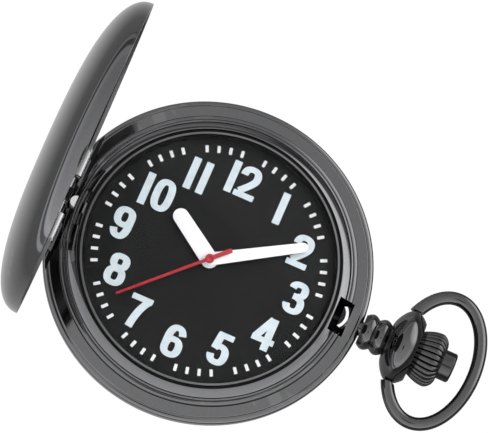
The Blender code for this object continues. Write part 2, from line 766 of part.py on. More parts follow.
def spring_screw(name, degrees, seat_z):
    """A screw that holds a spring up against the flange of the case."""
    top = FLANGE_Z + SPRING_SCREW_DEPTH
    low = seat_z - SPRING_SCREW_HEIGHT
    head = [(0.0, top), (SPRING_SCREW_RADIUS, top), (SPRING_SCREW_RADIUS, seat_z)]
    head += [(SPRING_SCREW_HEAD, seat_z), (SPRING_SCREW_HEAD, low), (0.0, low)]
    screw = place(name, turned(head, SMALL_FACETS, ring=False), "steel", (*polar(SPRING_RADIUS, degrees), 0))
    half = SCREW_SLOT / 2
    cut(screw, box((-1, -half, low - 1), (1, half, low + SPRING_SCREW_HEIGHT / 3)))


def make_lift_spring():
    top = FLANGE_Z - SPRING_CLEARANCE
    low = top - LIFT_THICKNESS
    half = LIFT_WIDTH / 2
    origin = (*polar(SPRING_RADIUS, LIFT_START_DEG), (top + low) / 2)
    start_deg = LIFT_START_DEG - math.degrees((SPRING_SCREW_HEAD + 4 * FIT) / SPRING_RADIUS)
    strip = spring_arc(SPRING_RADIUS - half, SPRING_RADIUS + half, start_deg, LIFT_END_DEG, 13)
    hole = circle(SPRING_SCREW_RADIUS + FIT / 2, SMALL_FACETS, polar(SPRING_RADIUS, LIFT_START_DEG))
    lift = place("lift_spring", shifted(extruded([strip, hole], low, top), origin), "steel", origin)
    tip_top = COVER_SEAT_Z + LIFT_RISE
    tip = arc((lift_tip_inner(), 0.0), LIFT_TIP_RADIUS, 90, 270, 11)
    join(lift, shifted(extruded([tip], low + FIT, tip_top), origin))
    spring_screw("lift_spring_screw", LIFT_START_DEG, low - 1.2 * FIT)


def make_latch_spring():
    top = FLANGE_Z - SPRING_CLEARANCE
    low = top - LATCH_HEIGHT
    half = LATCH_THICKNESS / 2
    origin = (*polar(SPRING_RADIUS, LATCH_START_DEG), top)
    tab_half = SPRING_SCREW_HEAD
    tab_angle = math.degrees(tab_half / SPRING_RADIUS)
    blade_start = LATCH_START_DEG + math.degrees((tab_half + 2 * FIT) / SPRING_RADIUS)
    tab_start = LATCH_START_DEG - tab_angle
    tab = spring_arc(SPRING_RADIUS - tab_half, SPRING_RADIUS + tab_half, tab_start, blade_start + 1.0, 4)
    hole = circle(SPRING_SCREW_RADIUS + FIT / 2, SMALL_FACETS, polar(SPRING_RADIUS, LATCH_START_DEG))
    tab_low = top - LATCH_TAB_THICKNESS
    latch = place("latch_spring", shifted(extruded([tab, hole], tab_low, top), origin), "steel", origin)
    hook_deg = math.degrees(LATCH_HOOK_LENGTH / 2 / SPRING_RADIUS)
    blade = spring_arc(SPRING_RADIUS - half, SPRING_RADIUS + half, blade_start, hook_deg, 7)
    join(latch, shifted(extruded([blade], low, top - FIT / 2), origin))
    plate = spring_arc(SPRING_RADIUS - half, SPRING_RADIUS + half, -hook_deg, hook_deg - 0.05, 5)
    hook_top = DIAL_TOP + LATCH_HOOK_RISE
    join(latch, shifted(extruded([plate], low + FIT, hook_top), origin))
    hook_end = LATCH_FACE + LATCH_HOOK_REACH - FIT
    hook = spring_arc(SPRING_RADIUS, hook_end, -hook_deg + 0.1, hook_deg - 0.15, 5)
    join(latch, shifted(extruded([hook], hook_top - LATCH_HOOK_THICKNESS, hook_top - 0.02), origin))
    reach = STEM_RADIUS + 1.5 * FIT
    near = (SPRING_RADIUS - 1, -reach - LATCH_SIDEWAYS, STEM_Z - reach)
    window = box(near, (SPRING_RADIUS + 1, reach, STEM_Z + reach))
    cut(latch, shifted(window, origin))
    spring_screw("latch_screw", LATCH_START_DEG, tab_low - 1.2 * FIT)


# Pendant, crown and bow, turned round the X axis


def bead(start, end, radius, neck, count):
    """Half-round bead along the axis, from its near groove to its far groove."""
    points = []
    for i in range(count):
        turn = math.pi * i / (count - 1)
        along = (start + end) / 2 - (end - start) / 2 * math.cos(turn)
        points.append((neck + (radius - neck) * math.sin(turn), along))
    return points


def make_pendant():
    beads = bead(BEAD_X, BEAD_X + BEAD_LENGTH, BEAD_RADIUS, BEAD_GROOVE_RADIUS, 5)
    beads += bead(BEAD_X + BEAD_LENGTH + 0.02, BARREL_X - 0.03, BEAD_RADIUS, BEAD_GROOVE_RADIUS, 5)
    barrel = []
    for share, radius_share in BARREL_SWELL:
        radius = BARREL_NECK_RADIUS + (BARREL_RADIUS - BARREL_NECK_RADIUS) * radius_share
        barrel.append((radius, BARREL_X + BARREL_LENGTH * share))
    barrel.append((BARREL_FACE_RADIUS, BARREL_END))
    cup = CROWN_INNER_RADIUS + 3 * FIT
    socket = CROWN_NECK_RADIUS + FIT
    bore = STEM_RADIUS + 2 * FIT
    cup_floor = BARREL_END - CUP_DEPTH
    socket_floor = CROWN_X - CROWN_NECK_LENGTH - 2 * FIT
    inside = [(cup, BARREL_END), (cup, cup_floor), (socket, cup_floor)]
    inside += [(socket, socket_floor), (bore, socket_floor)]
    spigot_x = PENDANT_X - SPIGOT_LENGTH
    spigot = [(bore, spigot_x), (SPIGOT_RADIUS, spigot_x), (SPIGOT_RADIUS, PENDANT_X)]
    outside = spigot + [(BEAD_GROOVE_RADIUS, PENDANT_X)] + beads + barrel
    profile = list(reversed(outside)) + list(reversed(inside))
    pendant = place("pendant", turned(profile, PENDANT_FACETS), "gunmetal", (0, 0, STEM_Z), AXIS_ALONG_X)
    far = BARREL_RADIUS + 1
    for side in (-1, 1):
        flat = sorted((side * BARREL_FLAT, side * far))
        cut(pendant, box((-far, flat[0], BARREL_X - 1), (far, flat[1], BARREL_END + 1)))
        hole = sorted((side * (BARREL_FLAT - BOW_PEG_LENGTH), side * far))
        cut(pendant, rod(BOW_PEG_RADIUS + FIT, *hole, SMALL_FACETS, (0.0, BOW_X), "Y"))


def make_bow():
    """An oval of round wire, whose turned-in pegs sit in the sides of the barrel."""
    end_y = BARREL_FLAT + BOW_SEAT_GAP
    lean = math.acos(min(end_y / BOW_HALF_WIDTH, 1.0))
    centre = BOW_HALF_LENGTH * math.sin(lean)
    first = -math.pi / 2 - lean
    sweep = math.pi + 2 * lean
    curve = bpy.data.curves.new("bow_wire", "CURVE")
    curve.dimensions = "3D"
    curve.bevel_depth = BOW_WIRE / 2
    curve.bevel_resolution = 2
    curve.use_fill_caps = True
    spline = curve.splines.new("POLY")
    spline.points.add(BOW_POINTS - 1)
    for i, point in enumerate(spline.points):
        turn = first + sweep * i / (BOW_POINTS - 1)
        point.co = (centre + BOW_HALF_LENGTH * math.cos(turn), BOW_HALF_WIDTH * math.sin(turn), 0.0, 1.0)
    mesh = weld(evaluated_mesh("bow_wire", curve), MM)
    bow = place("bow", mesh, "gunmetal", (BOW_X, 0.0, STEM_Z))
    for side in (-1, 1):
        trim = sorted((side * (end_y - 2 * BOW_WIRE), side * end_y))
        cut(bow, box((-2 * BOW_WIRE, trim[0], -BOW_WIRE), (2 * BOW_WIRE, trim[1], BOW_WIRE)))
        peg = sorted((side * (BARREL_FLAT - BOW_PEG_LENGTH + 2 * FIT), side * (end_y + BOW_PEG_RADIUS)))
        join(bow, rod(BOW_PEG_RADIUS, *peg, SMALL_FACETS, (0.0, 0.0), "Y"))


def make_crown():
    end = CROWN_END
    start = CROWN_X
    profile = [(BUTTON_RADIUS + FIT, end), (CROWN_END_RADIUS - 0.5, end)]
    for share, radius_share in CROWN_SWELL:
        radius = CROWN_INNER_RADIUS + (CROWN_RADIUS - CROWN_INNER_RADIUS) * radius_share
        profile.append((radius, end - (end - start) * share))
    outer_count = len(profile)
    profile += [(CROWN_INNER_RADIUS, start), (CROWN_NECK_RADIUS, start)]
    bore = STEM_RADIUS + TURN_GAP
    floor = start + CROWN_FLOOR
    profile += [(CROWN_NECK_RADIUS, start - CROWN_NECK_LENGTH), (bore, start - CROWN_NECK_LENGTH)]
    profile += [(bore, floor), (BUTTON_RADIUS + FIT, floor)]
    facets = 2 * CROWN_FLUTES
    mesh = turned(profile, facets)
    smallest = min(radius for radius, _ in profile[2:outer_count]) * MM
    for vertex in mesh.vertices:
        flat = Vector((vertex.co.x, vertex.co.y))
        column = round(math.atan2(flat.y, flat.x) / math.tau * facets)
        if flat.length > smallest - 1e-6 and column % 2 == 0:
            shrink = 1 - CROWN_FLUTE_DEPTH * MM / flat.length
            vertex.co.x *= shrink
            vertex.co.y *= shrink
    place("crown", mesh, "gunmetal", (0, 0, STEM_Z), AXIS_ALONG_X)


def make_button():
    edge = BUTTON_END - BUTTON_DOME
    profile = [(0.0, BUTTON_END), (0.6 * BUTTON_RADIUS, BUTTON_END - 0.3 * BUTTON_DOME)]
    profile += [(BUTTON_RADIUS - BUTTON_CHAMFER, edge), (BUTTON_RADIUS, edge - BUTTON_CHAMFER)]
    hole = STEM_RADIUS + TURN_GAP
    hole_end = BUTTON_X + BUTTON_DEPTH
    profile += [(BUTTON_RADIUS, BUTTON_X), (hole, BUTTON_X), (hole, hole_end), (0.0, hole_end)]
    at = (0, 0, STEM_Z)
    place("push_button", turned(profile, PENDANT_FACETS, ring=False), "gunmetal", at, AXIS_ALONG_X)
    stem = rod_profile(STEM_RADIUS, STEM_INNER_X, hole_end - 2 * FIT)
    place("setting_stem", turned(stem, SMALL_FACETS, ring=False), "steel", at, AXIS_ALONG_X)
    collar = tube_profile(STEM_RADIUS + TURN_GAP, COLLAR_RADIUS, COLLAR_X, COLLAR_X + COLLAR_LENGTH)
    place("stem_collar", turned(collar, SMALL_FACETS), "steel", at, AXIS_ALONG_X)
    make_button_spring()


def make_button_spring():
    """A coil round the stem, between the floor of the crown and the button."""
    low = CROWN_X + CROWN_FLOOR + SPRING_WIRE / 2 + FIT
    high = BUTTON_X - SPRING_WIRE / 2 - FIT
    count = int(SPRING_TURNS * SPRING_SIDES) + 1
    curve = bpy.data.curves.new("spring_wire", "CURVE")
    curve.dimensions = "3D"
    curve.bevel_depth = SPRING_WIRE / 2
    curve.bevel_resolution = 1
    curve.use_fill_caps = True
    spline = curve.splines.new("POLY")
    spline.points.add(count - 1)
    for i, point in enumerate(spline.points):
        x, y = polar(SPRING_COIL_RADIUS, 360.0 * i / SPRING_SIDES)
        point.co = (x, y, low + (high - low) * i / (count - 1), 1.0)
    mesh = weld(evaluated_mesh("spring_wire", curve), MM)
    place("button_spring", mesh, "steel", (0, 0, STEM_Z), AXIS_ALONG_X)


# Gears


def gear_outline(teeth, module, phase_deg, leaf=False):
    """A toothed outline. Wheels have pointed teeth and pinions short, thin leaves, with room to run."""
    pitch = teeth * module / 2
    tip = pitch + (LEAF_TIP if leaf else TOOTH_TIP) * module
    root = pitch - (LEAF_ROOT if leaf else TOOTH_ROOT) * module
    step = 360.0 / teeth
    half_leaf = LEAF_HALF_WIDTH * step
    outline = []
    for i in range(teeth):
        middle = phase_deg + step * i
        if leaf:
            outline += [polar(root, middle - half_leaf), polar(tip, middle), polar(root, middle + half_leaf)]
        else:
            outline += [polar(root, middle - step / 2), polar(tip, middle)]
    return outline


def meshing_phase(driver_teeth, follower_teeth, direction_deg, driver_phase=0.0):
    """The follower's tooth angle that puts a gap opposite each tooth of the driver."""
    driver_step = 360.0 / driver_teeth
    ahead = (direction_deg - driver_phase) / driver_step
    return direction_deg + 180.0 - (0.5 - ahead) * 360.0 / follower_teeth


def level(steps):
    return BRIDGE_TOP + steps * TRAIN_STEP


def motion_level(steps):
    return PLATE_TOP + steps * MOTION_STEP


THIRD_AT = polar(THIRD_DISTANCE, THIRD_DEG)
FIFTH_AT = polar(FIFTH_DISTANCE, FIFTH_DEG)
ROTOR_AT = tuple(a + b for a, b in zip(FIFTH_AT, polar(ROTOR_DISTANCE, ROTOR_DEG)))
MINUTE_AT = polar(MOTION_DISTANCE, MOTION_DEG)


def module_for(distance, first_teeth, second_teeth):
    return 2 * distance / (first_teeth + second_teeth)


def arbor_profile(low, high):
    """An arbor whose thin pivots run in the bridge and the plate."""
    shoulder = 2 * FIT
    return [
        (0.0, high + PLATE_THICKNESS - FIT),
        (PIVOT_RADIUS, high + PLATE_THICKNESS - FIT),
        (PIVOT_RADIUS, high - shoulder),
        (ARBOR_RADIUS, high - shoulder),
        (ARBOR_RADIUS, low + shoulder),
        (PIVOT_RADIUS, low + shoulder),
        (PIVOT_RADIUS, low - BRIDGE_THICKNESS + FIT),
        (0.0, low - BRIDGE_THICKNESS + FIT),
    ]


def geared_arbor(name, at, wheel, wheel_level, pinion, pinion_levels, finish="brass"):
    """A wheel and a pinion on one arbor between the bridge and the plate."""
    low = level(wheel_level)
    part = place(name, extruded([wheel], low, low + WHEEL_THICKNESS), finish, (*at, 0.0))
    join(part, extruded([pinion], level(pinion_levels[0]), level(pinion_levels[1])))
    join(part, turned(arbor_profile(BRIDGE_TOP, PLATE_Z), ARBOR_FACETS, ring=False))
    return part


def make_going_train():
    seconds_third = module_for(THIRD_DISTANCE, PINION_LEAVES, THIRD_TEETH)
    third_centre = module_for(THIRD_DISTANCE, PINION_LEAVES, CENTRE_TEETH)
    fifth_seconds = module_for(FIFTH_DISTANCE, PINION_LEAVES, SECONDS_TEETH)
    rotor_fifth = module_for(ROTOR_DISTANCE, PINION_LEAVES, FIFTH_TEETH)

    low = level(WHEEL_STEPS["seconds"])
    wheel = gear_outline(SECONDS_TEETH, fifth_seconds, 0.0)
    seconds = place("seconds_wheel", extruded([wheel], low, low + WHEEL_THICKNESS), "brass")
    pinion = gear_outline(PINION_LEAVES, seconds_third, 0.0, leaf=True)
    join(seconds, extruded([pinion], *map(level, PINION_STEPS["seconds"])))
    arbor = rod_profile(SECONDS_ARBOR_RADIUS, BRIDGE_Z + FIT, SECOND_HAND_Z - FIT)
    join(seconds, turned(arbor, ARBOR_FACETS, ring=False))

    phase = meshing_phase(PINION_LEAVES, THIRD_TEETH, THIRD_DEG)
    geared_arbor(
        "third_wheel",
        THIRD_AT,
        gear_outline(THIRD_TEETH, seconds_third, phase),
        WHEEL_STEPS["third"],
        gear_outline(PINION_LEAVES, third_centre, 0.0, leaf=True),
        PINION_STEPS["third"],
    )
    phase = meshing_phase(PINION_LEAVES, CENTRE_TEETH, THIRD_DEG + 180.0)
    low = level(WHEEL_STEPS["centre"])
    middle = (CENTRE_TUBE_INNER + CENTRE_TUBE_OUTER) / 2
    wheel = gear_outline(CENTRE_TEETH, third_centre, phase)
    outlines = [wheel, circle(middle, SMALL_FACETS)]
    centre = place("centre_wheel", extruded(outlines, low, low + WHEEL_THICKNESS), "brass")
    tube = tube_profile(CENTRE_TUBE_INNER, CENTRE_TUBE_OUTER, low - FIT, MINUTE_HAND_Z)
    join(centre, turned(tube, SMALL_FACETS))

    phase = meshing_phase(SECONDS_TEETH, PINION_LEAVES, FIFTH_DEG)
    geared_arbor(
        "fifth_wheel",
        FIFTH_AT,
        gear_outline(FIFTH_TEETH, rotor_fifth, 0.0),
        WHEEL_STEPS["fifth"],
        gear_outline(PINION_LEAVES, fifth_seconds, phase, leaf=True),
        PINION_STEPS["fifth"],
    )
    phase = meshing_phase(FIFTH_TEETH, PINION_LEAVES, ROTOR_DEG)
    pinion = gear_outline(PINION_LEAVES, rotor_fifth, phase, leaf=True)
    magnet = rod(ROTOR_RADIUS, *map(level, MAGNET_STEPS))
    rotor = place("rotor", magnet, "steel", (*ROTOR_AT, 0.0))
    join(rotor, extruded([pinion], *map(level, PINION_STEPS["rotor"])))
    join(rotor, turned(arbor_profile(BRIDGE_TOP, PLATE_Z), ARBOR_FACETS, ring=False))


def make_motion_work():
    cannon_minute = module_for(MOTION_DISTANCE, CANNON_TEETH, MINUTE_TEETH)
    pinion_hour = module_for(MOTION_DISTANCE, PINION_LEAVES, HOUR_TEETH)
    cannon_gear = gear_outline(CANNON_TEETH, cannon_minute, 0.0, leaf=True)
    middle = (CANNON_INNER + CANNON_OUTER) / 2
    outlines = [cannon_gear, circle(middle, SMALL_FACETS)]
    cannon_low, cannon_high = map(motion_level, CANNON_STEPS)
    cannon = place("cannon_pinion", extruded(outlines, cannon_low, cannon_high), "brass")
    tube_top = MINUTE_HAND_Z + HAND_THICKNESS + FIT
    tube = tube_profile(CANNON_INNER, CANNON_OUTER, cannon_low - FIT / 2, tube_top)
    join(cannon, turned(tube, SMALL_FACETS))

    phase = meshing_phase(CANNON_TEETH, MINUTE_TEETH, MOTION_DEG)
    low = motion_level(MOTION_WHEEL_STEPS["minute"])
    wheel = gear_outline(MINUTE_TEETH, cannon_minute, phase)
    at = (*MINUTE_AT, 0.0)
    minute = place("minute_wheel", extruded([wheel], low, low + WHEEL_THICKNESS), "brass", at)
    pinion = gear_outline(PINION_LEAVES, pinion_hour, 0.0, leaf=True)
    join(minute, extruded([pinion], low + WHEEL_THICKNESS / 2, motion_level(MINUTE_PINION_TOP_STEPS)))
    cut(minute, rod(MINUTE_POST_RADIUS + TURN_GAP, *map(motion_level, MINUTE_BORE_STEPS)))

    phase = meshing_phase(PINION_LEAVES, HOUR_TEETH, MOTION_DEG + 180.0)
    low = motion_level(MOTION_WHEEL_STEPS["hour"])
    middle = (HOUR_PIPE_INNER + HOUR_PIPE_OUTER) / 2
    wheel = gear_outline(HOUR_TEETH, pinion_hour, phase)
    outlines = [wheel, circle(middle, SMALL_FACETS)]
    hour = place("hour_wheel", extruded(outlines, low, low + WHEEL_THICKNESS), "brass")
    pipe_top = HOUR_HAND_Z + HAND_THICKNESS + FIT / 2
    pipe = tube_profile(HOUR_PIPE_INNER, HOUR_PIPE_OUTER, low - FIT, pipe_top)
    join(hour, turned(pipe, PENDANT_FACETS))


def make_main_plate():
    outline = [circle(PLATE_RADIUS, CASE_FACETS), circle(CENTRE_TUBE_OUTER + TURN_GAP, SMALL_FACETS)]
    outline += [circle(PIVOT_RADIUS + TURN_GAP, ARBOR_FACETS, at) for at in (THIRD_AT, FIFTH_AT, ROTOR_AT)]
    half_window = CLUTCH_RADIUS + SPRING_CLEARANCE
    clutch_x = STEM_INNER_X + FIT
    outline.append(
        [
            (clutch_x - SPRING_CLEARANCE, -half_window),
            (clutch_x + CLUTCH_LENGTH + SPRING_CLEARANCE, -half_window),
            (clutch_x + CLUTCH_LENGTH + SPRING_CLEARANCE, half_window),
            (clutch_x - SPRING_CLEARANCE, half_window),
        ]
    )
    plate = place("main_plate", extruded(outline, PLATE_Z, PLATE_TOP), "brass")
    root = PLATE_Z + PLATE_THICKNESS / 2
    join(plate, rod(MINUTE_POST_RADIUS, root, DIAL_Z - 2 * FIT, centre=MINUTE_AT))
    for at in BRIDGE_PILLARS:
        join(plate, rod(PILLAR_RADIUS, BRIDGE_TOP + FIT / 2, root, ARBOR_FACETS, at))
    for at in BOARD_PILLARS:
        join(plate, rod(PILLAR_RADIUS, BOARD_Z + BOARD_THICKNESS + FIT / 2, root, ARBOR_FACETS, at))
    join(plate, rod(PILLAR_RADIUS, clamp_top() + FIT / 2, root, ARBOR_FACETS, CLAMP_PILLAR))
    post_low = core_z() + CORE_THICKNESS + FIT / 2
    for x in CORE_ENDS:
        join(plate, rod(STATOR_HALF_LEG - SPRING_CLEARANCE, post_low, root, ARBOR_FACETS, (x, COIL_Y)))


def pillar_screws(prefix, places, head_top, height):
    """The heads of screws that come up from the back into the pillars of the plate."""
    half_slot = SCREW_SLOT / 2
    for number, at in enumerate(places, start=1):
        head = rod_profile(SCREW_HEAD_RADIUS, head_top - height, head_top)
        screw = place(f"{prefix}_{number}", turned(head, SMALL_FACETS, ring=False), "steel", (*at, 0.0))
        cut(screw, box((-1, -half_slot, head_top - height - 1), (1, half_slot, head_top - height / 2)))


def make_bridge():
    around = [BRIDGE_PILLARS[0], BRIDGE_PILLARS[1], ROTOR_AT, BRIDGE_PILLARS[2]]
    outline = [rounded_hull(around, BRIDGE_MARGIN, per_corner=6)]
    outline.append(circle(SECONDS_ARBOR_RADIUS + TURN_GAP, SMALL_FACETS))
    outline += [circle(PIVOT_RADIUS + TURN_GAP, ARBOR_FACETS, at) for at in (THIRD_AT, FIFTH_AT, ROTOR_AT)]
    place("train_bridge", extruded(outline, BRIDGE_Z, BRIDGE_TOP), "brass")
    pillar_screws("bridge_screw", BRIDGE_PILLARS, BRIDGE_Z - FIT / 2, SCREW_HEAD_HEIGHT)


def make_circuit():
    board_top = BOARD_Z + BOARD_THICKNESS
    outline = rounded_hull(BOARD_CORNERS, BOARD_MARGIN)
    place("circuit_board", extruded([outline], BOARD_Z, board_top), "board_green")
    pillar_screws("board_screw", BOARD_PILLARS, BOARD_Z - FIT / 2, BOARD_SCREW_HEIGHT)
    can_z = board_top + CAN_RADIUS + FIT
    place("quartz_can", rod(CAN_RADIUS, *CAN_ENDS, SMALL_FACETS, (CAN_Y, can_z), "X"), "steel")
    x, y = CHIP_CORNER
    low = board_top + FIT
    chip = box((x, y, low), (x + CHIP_SIDE, y + CHIP_SIDE, low + CHIP_HEIGHT))
    place("control_chip", chip, "black_rubber")


def clamp_top():
    return battery_z() - FIT


def battery_z():
    return PLATE_Z - SPRING_CLEARANCE - BATTERY_HEIGHT


def make_battery():
    low = battery_z()
    top = low + BATTERY_HEIGHT
    shoulder = top - BATTERY_CAP_HEIGHT
    profile = [(0.0, top), (BATTERY_CAP_RADIUS, top), (BATTERY_CAP_RADIUS, shoulder)]
    profile += [(BATTERY_RADIUS, shoulder - EDGE_BREAK), (BATTERY_RADIUS, low), (0.0, low)]
    place("battery_cell", turned(profile, CELL_FACETS, ring=False), "steel", (BATTERY_X, 0.0, 0.0))
    around = [CLAMP_PILLAR, (BATTERY_X + CLAMP_MARGIN, 0.0), (BATTERY_X - CLAMP_MARGIN, CLAMP_MARGIN)]
    clamp_low = clamp_top() - CLAMP_THICKNESS
    outline = rounded_hull(around, CLAMP_MARGIN, per_corner=6)
    place("battery_clamp", extruded([outline], clamp_low, clamp_top()), "steel")
    pillar_screws("clamp_screw", [CLAMP_PILLAR], clamp_low - FIT / 2, SCREW_HEAD_HEIGHT)


def core_z():
    return level(STATOR_STEPS[1]) + FIT


def make_motor():
    left, right = CORE_ENDS
    wide = STATOR_HALF_LEG
    bar_low = ROTOR_AT[1] - STATOR_HALF_BAR
    bar_high = ROTOR_AT[1] + STATOR_HALF_BAR
    leg_end = COIL_Y + wide
    outline = [
        (left - wide, bar_low),
        (right + wide, bar_low),
        (right + wide, leg_end),
        (right - wide, leg_end),
        (right - wide, bar_high),
        (left + wide, bar_high),
        (left + wide, leg_end),
        (left - wide, leg_end),
    ]
    hole = circle(ROTOR_RADIUS + SPRING_CLEARANCE, SMALL_FACETS, ROTOR_AT)
    place("stator", extruded([outline, hole], *map(level, STATOR_STEPS)), "steel")
    half = STATOR_HALF_LEG - FIT
    low = core_z()
    core = box((left - half, COIL_Y - half, low), (right + half, COIL_Y + half, low + CORE_THICKNESS))
    coil = place("coil", core, "copper_wire")
    ends = (left + wide + SPRING_CLEARANCE, right - wide - SPRING_CLEARANCE)
    join(coil, rod(COIL_RADIUS, *ends, PENDANT_FACETS, (COIL_Y, low + CORE_THICKNESS / 2), "X"))


def make_holder():
    top = DIAL_Z - FIT
    ledge = PLATE_TOP + FIT
    low = PLATE_Z - HOLDER_DEPTH
    lip = HOLDER_INNER - HOLDER_LEDGE
    profile = [(lip, top), (DIAL_RADIUS, top), (DIAL_RADIUS, low), (HOLDER_INNER, low)]
    profile += [(HOLDER_INNER, ledge), (lip, ledge)]
    holder = place("movement_holder", turned(profile, CASE_FACETS), "holder_plastic")
    reach = STEM_RADIUS + 2 * FIT
    cut(holder, box((lip - 1, -reach, STEM_Z - reach), (DIAL_RADIUS + 1, reach, DIAL_Z + 1)))


def make_clutch():
    """The sliding pinion on the stem that drives the motion work while the hands are set."""
    start = STEM_INNER_X + FIT
    step = 360.0 / CLUTCH_TEETH
    tooth = ((-0.16, CLUTCH_RADIUS), (0.16, CLUTCH_RADIUS), (0.34, CLUTCH_ROOT), (0.66, CLUTCH_ROOT))
    outline = []
    for i in range(CLUTCH_TEETH):
        outline += [polar(radius, step * (i + share)) for share, radius in tooth]
    hole = circle(STEM_RADIUS + TURN_GAP, SMALL_FACETS)
    mesh = extruded([outline, hole], start, start + CLUTCH_LENGTH)
    place("clutch_pinion", mesh, "steel", (0, 0, STEM_Z), AXIS_ALONG_X)


# Dial and hands


def make_dial():
    outline = [circle(DIAL_RADIUS, CASE_FACETS), circle(HOUR_PIPE_OUTER + 2 * FIT, PENDANT_FACETS)]
    place("dial", extruded(outline, DIAL_Z, DIAL_TOP), "black_dial")


def baton(length, width, hub_radius, tip_width):
    """A straight hand with a round hub and a round tip, pointing along +X."""
    side = math.degrees(math.asin(width / 2 / hub_radius))
    hub = arc((0, 0), hub_radius, side, 360 - side, 17)
    tip = arc((length - tip_width / 2, 0), tip_width / 2, -90, 90, 9)
    return hub + tip


def make_hands():
    hub = max(HOUR_PIPE_OUTER + HUB_MARGIN, HOUR_HAND_WIDTH / 2 + FIT)
    outline = baton(HOUR_HAND_LENGTH, HOUR_HAND_WIDTH, hub, HOUR_HAND_WIDTH)
    hole = circle(HOUR_PIPE_OUTER + TURN_GAP, PENDANT_FACETS)
    mesh = extruded([outline, hole], HOUR_HAND_Z, HOUR_HAND_Z + HAND_THICKNESS)
    place("hour_hand", mesh, "white_enamel", (0, 0, 0), (0, 0, math.radians(HOUR_HAND_DEG)))
    hub = max(CANNON_OUTER + HUB_MARGIN, MINUTE_HAND_WIDTH / 2) + FIT
    outline = baton(MINUTE_HAND_LENGTH, MINUTE_HAND_WIDTH, hub, MINUTE_TIP_WIDTH)
    hole = circle(CANNON_OUTER + TURN_GAP, SMALL_FACETS)
    mesh = extruded([outline, hole], MINUTE_HAND_Z, MINUTE_HAND_Z + HAND_THICKNESS)
    place("minute_hand", mesh, "white_enamel", (0, 0, 0), (0, 0, math.radians(MINUTE_HAND_DEG)))
    half = SECOND_HAND_WIDTH / 2
    half_tail = SECOND_TAIL_WIDTH / 2
    outline = [(-SECOND_HAND_TAIL, -half_tail), (-SECOND_HUB_RADIUS, -half_tail), (0.0, -half)]
    outline += [(SECOND_HAND_LENGTH, -0.8 * half), (SECOND_HAND_LENGTH, 0.8 * half), (0.0, half)]
    outline += [(-SECOND_HUB_RADIUS, half_tail), (-SECOND_HAND_TAIL, half_tail)]
    mesh = extruded([outline], SECOND_HAND_Z, SECOND_HAND_Z + HAND_THICKNESS)
    hand = place("second_hand", mesh, "red_enamel", (0, 0, 0), (0, 0, math.radians(SECOND_HAND_DEG)))
    hub_top = SECOND_HAND_Z + HAND_THICKNESS + HUB_CAP_HEIGHT
    join(hand, rod(SECOND_HUB_RADIUS, SECOND_HAND_Z - 0.02, hub_top, PENDANT_FACETS))


make_case_back()
make_case_middle()
make_bezel()
make_crystal()
make_front_cover()
make_hinge_pin()
make_lift_spring()
make_latch_spring()
make_pendant()
make_bow()
make_crown()
make_button()
make_clutch()
make_dial()
make_hands()
make_holder()
make_main_plate()
make_bridge()
make_circuit()
make_battery()
make_motor()
make_going_train()
make_motion_work()
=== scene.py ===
# %% [markdown]
# A hunter pocket watch is a watch with a lid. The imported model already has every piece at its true
# size and place, so this lesson only dresses it: smooth turned metal, a domed glass, a printed dial
# and painted hands. The frame is loaded first because every later step measures itself on it.

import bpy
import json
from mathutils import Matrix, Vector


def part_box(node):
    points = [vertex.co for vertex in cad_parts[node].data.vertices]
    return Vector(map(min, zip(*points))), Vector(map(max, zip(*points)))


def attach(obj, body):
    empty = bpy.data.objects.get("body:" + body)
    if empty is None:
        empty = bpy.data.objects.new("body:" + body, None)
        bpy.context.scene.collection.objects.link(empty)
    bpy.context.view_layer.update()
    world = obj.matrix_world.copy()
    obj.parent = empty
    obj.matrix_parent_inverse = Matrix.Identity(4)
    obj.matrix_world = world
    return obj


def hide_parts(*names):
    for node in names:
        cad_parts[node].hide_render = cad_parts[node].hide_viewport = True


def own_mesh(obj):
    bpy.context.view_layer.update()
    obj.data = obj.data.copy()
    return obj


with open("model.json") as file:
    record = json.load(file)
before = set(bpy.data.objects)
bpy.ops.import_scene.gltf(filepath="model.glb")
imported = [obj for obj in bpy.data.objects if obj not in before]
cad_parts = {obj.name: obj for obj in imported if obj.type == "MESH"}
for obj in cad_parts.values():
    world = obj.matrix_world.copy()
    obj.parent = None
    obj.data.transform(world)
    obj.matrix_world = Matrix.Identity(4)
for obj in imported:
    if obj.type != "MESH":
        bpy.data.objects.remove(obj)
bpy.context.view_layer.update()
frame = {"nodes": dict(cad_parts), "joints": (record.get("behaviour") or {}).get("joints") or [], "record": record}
print("packed nodes:", len(frame["nodes"]))

# %% Blender modules and the working unit
import json
from math import acos, cos, hypot, pi, radians, sin

import bmesh
import bpy
from mathutils import Matrix, Vector

MM = 0.001
scene = bpy.context.scene


def span(node):
    """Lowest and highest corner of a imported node, in millimetres."""
    low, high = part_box(node)
    return low / MM, high / MM


DIAL_TOP = span("dial")[1].z
CASE_RADIUS = span("case_middle")[1].y
print(f"dial face at {DIAL_TOP:.2f} mm, case radius {CASE_RADIUS:.2f} mm")

# %% [markdown]
# The picture was taken with a long lens, from above and a little below six o'clock, with the camera
# rolled so that twelve o'clock leans right. The dial is a true circle, so its ellipse in the picture
# gives the tilt, and the case's known width gives the distance.

# %% Camera
CAMERA_AT = (8.46, -185.99, 718.02)
CAMERA_TURN_DEG = (14.236, -5.590, 22.906)
CAMERA_LENS = 384.5

lens = bpy.data.cameras.new("long_lens")
lens.lens = CAMERA_LENS
lens.sensor_width = 36.0
lens.sensor_fit = "HORIZONTAL"
lens.clip_end = 10.0
camera = bpy.data.objects.new("camera", lens)
camera.location = Vector(CAMERA_AT) * MM
camera.rotation_euler = [radians(angle) for angle in CAMERA_TURN_DEG]
scene.collection.objects.link(camera)
scene.camera = camera
towards_camera = camera.location.normalized()
print("camera stands", round(camera.location.length, 3), "m away")

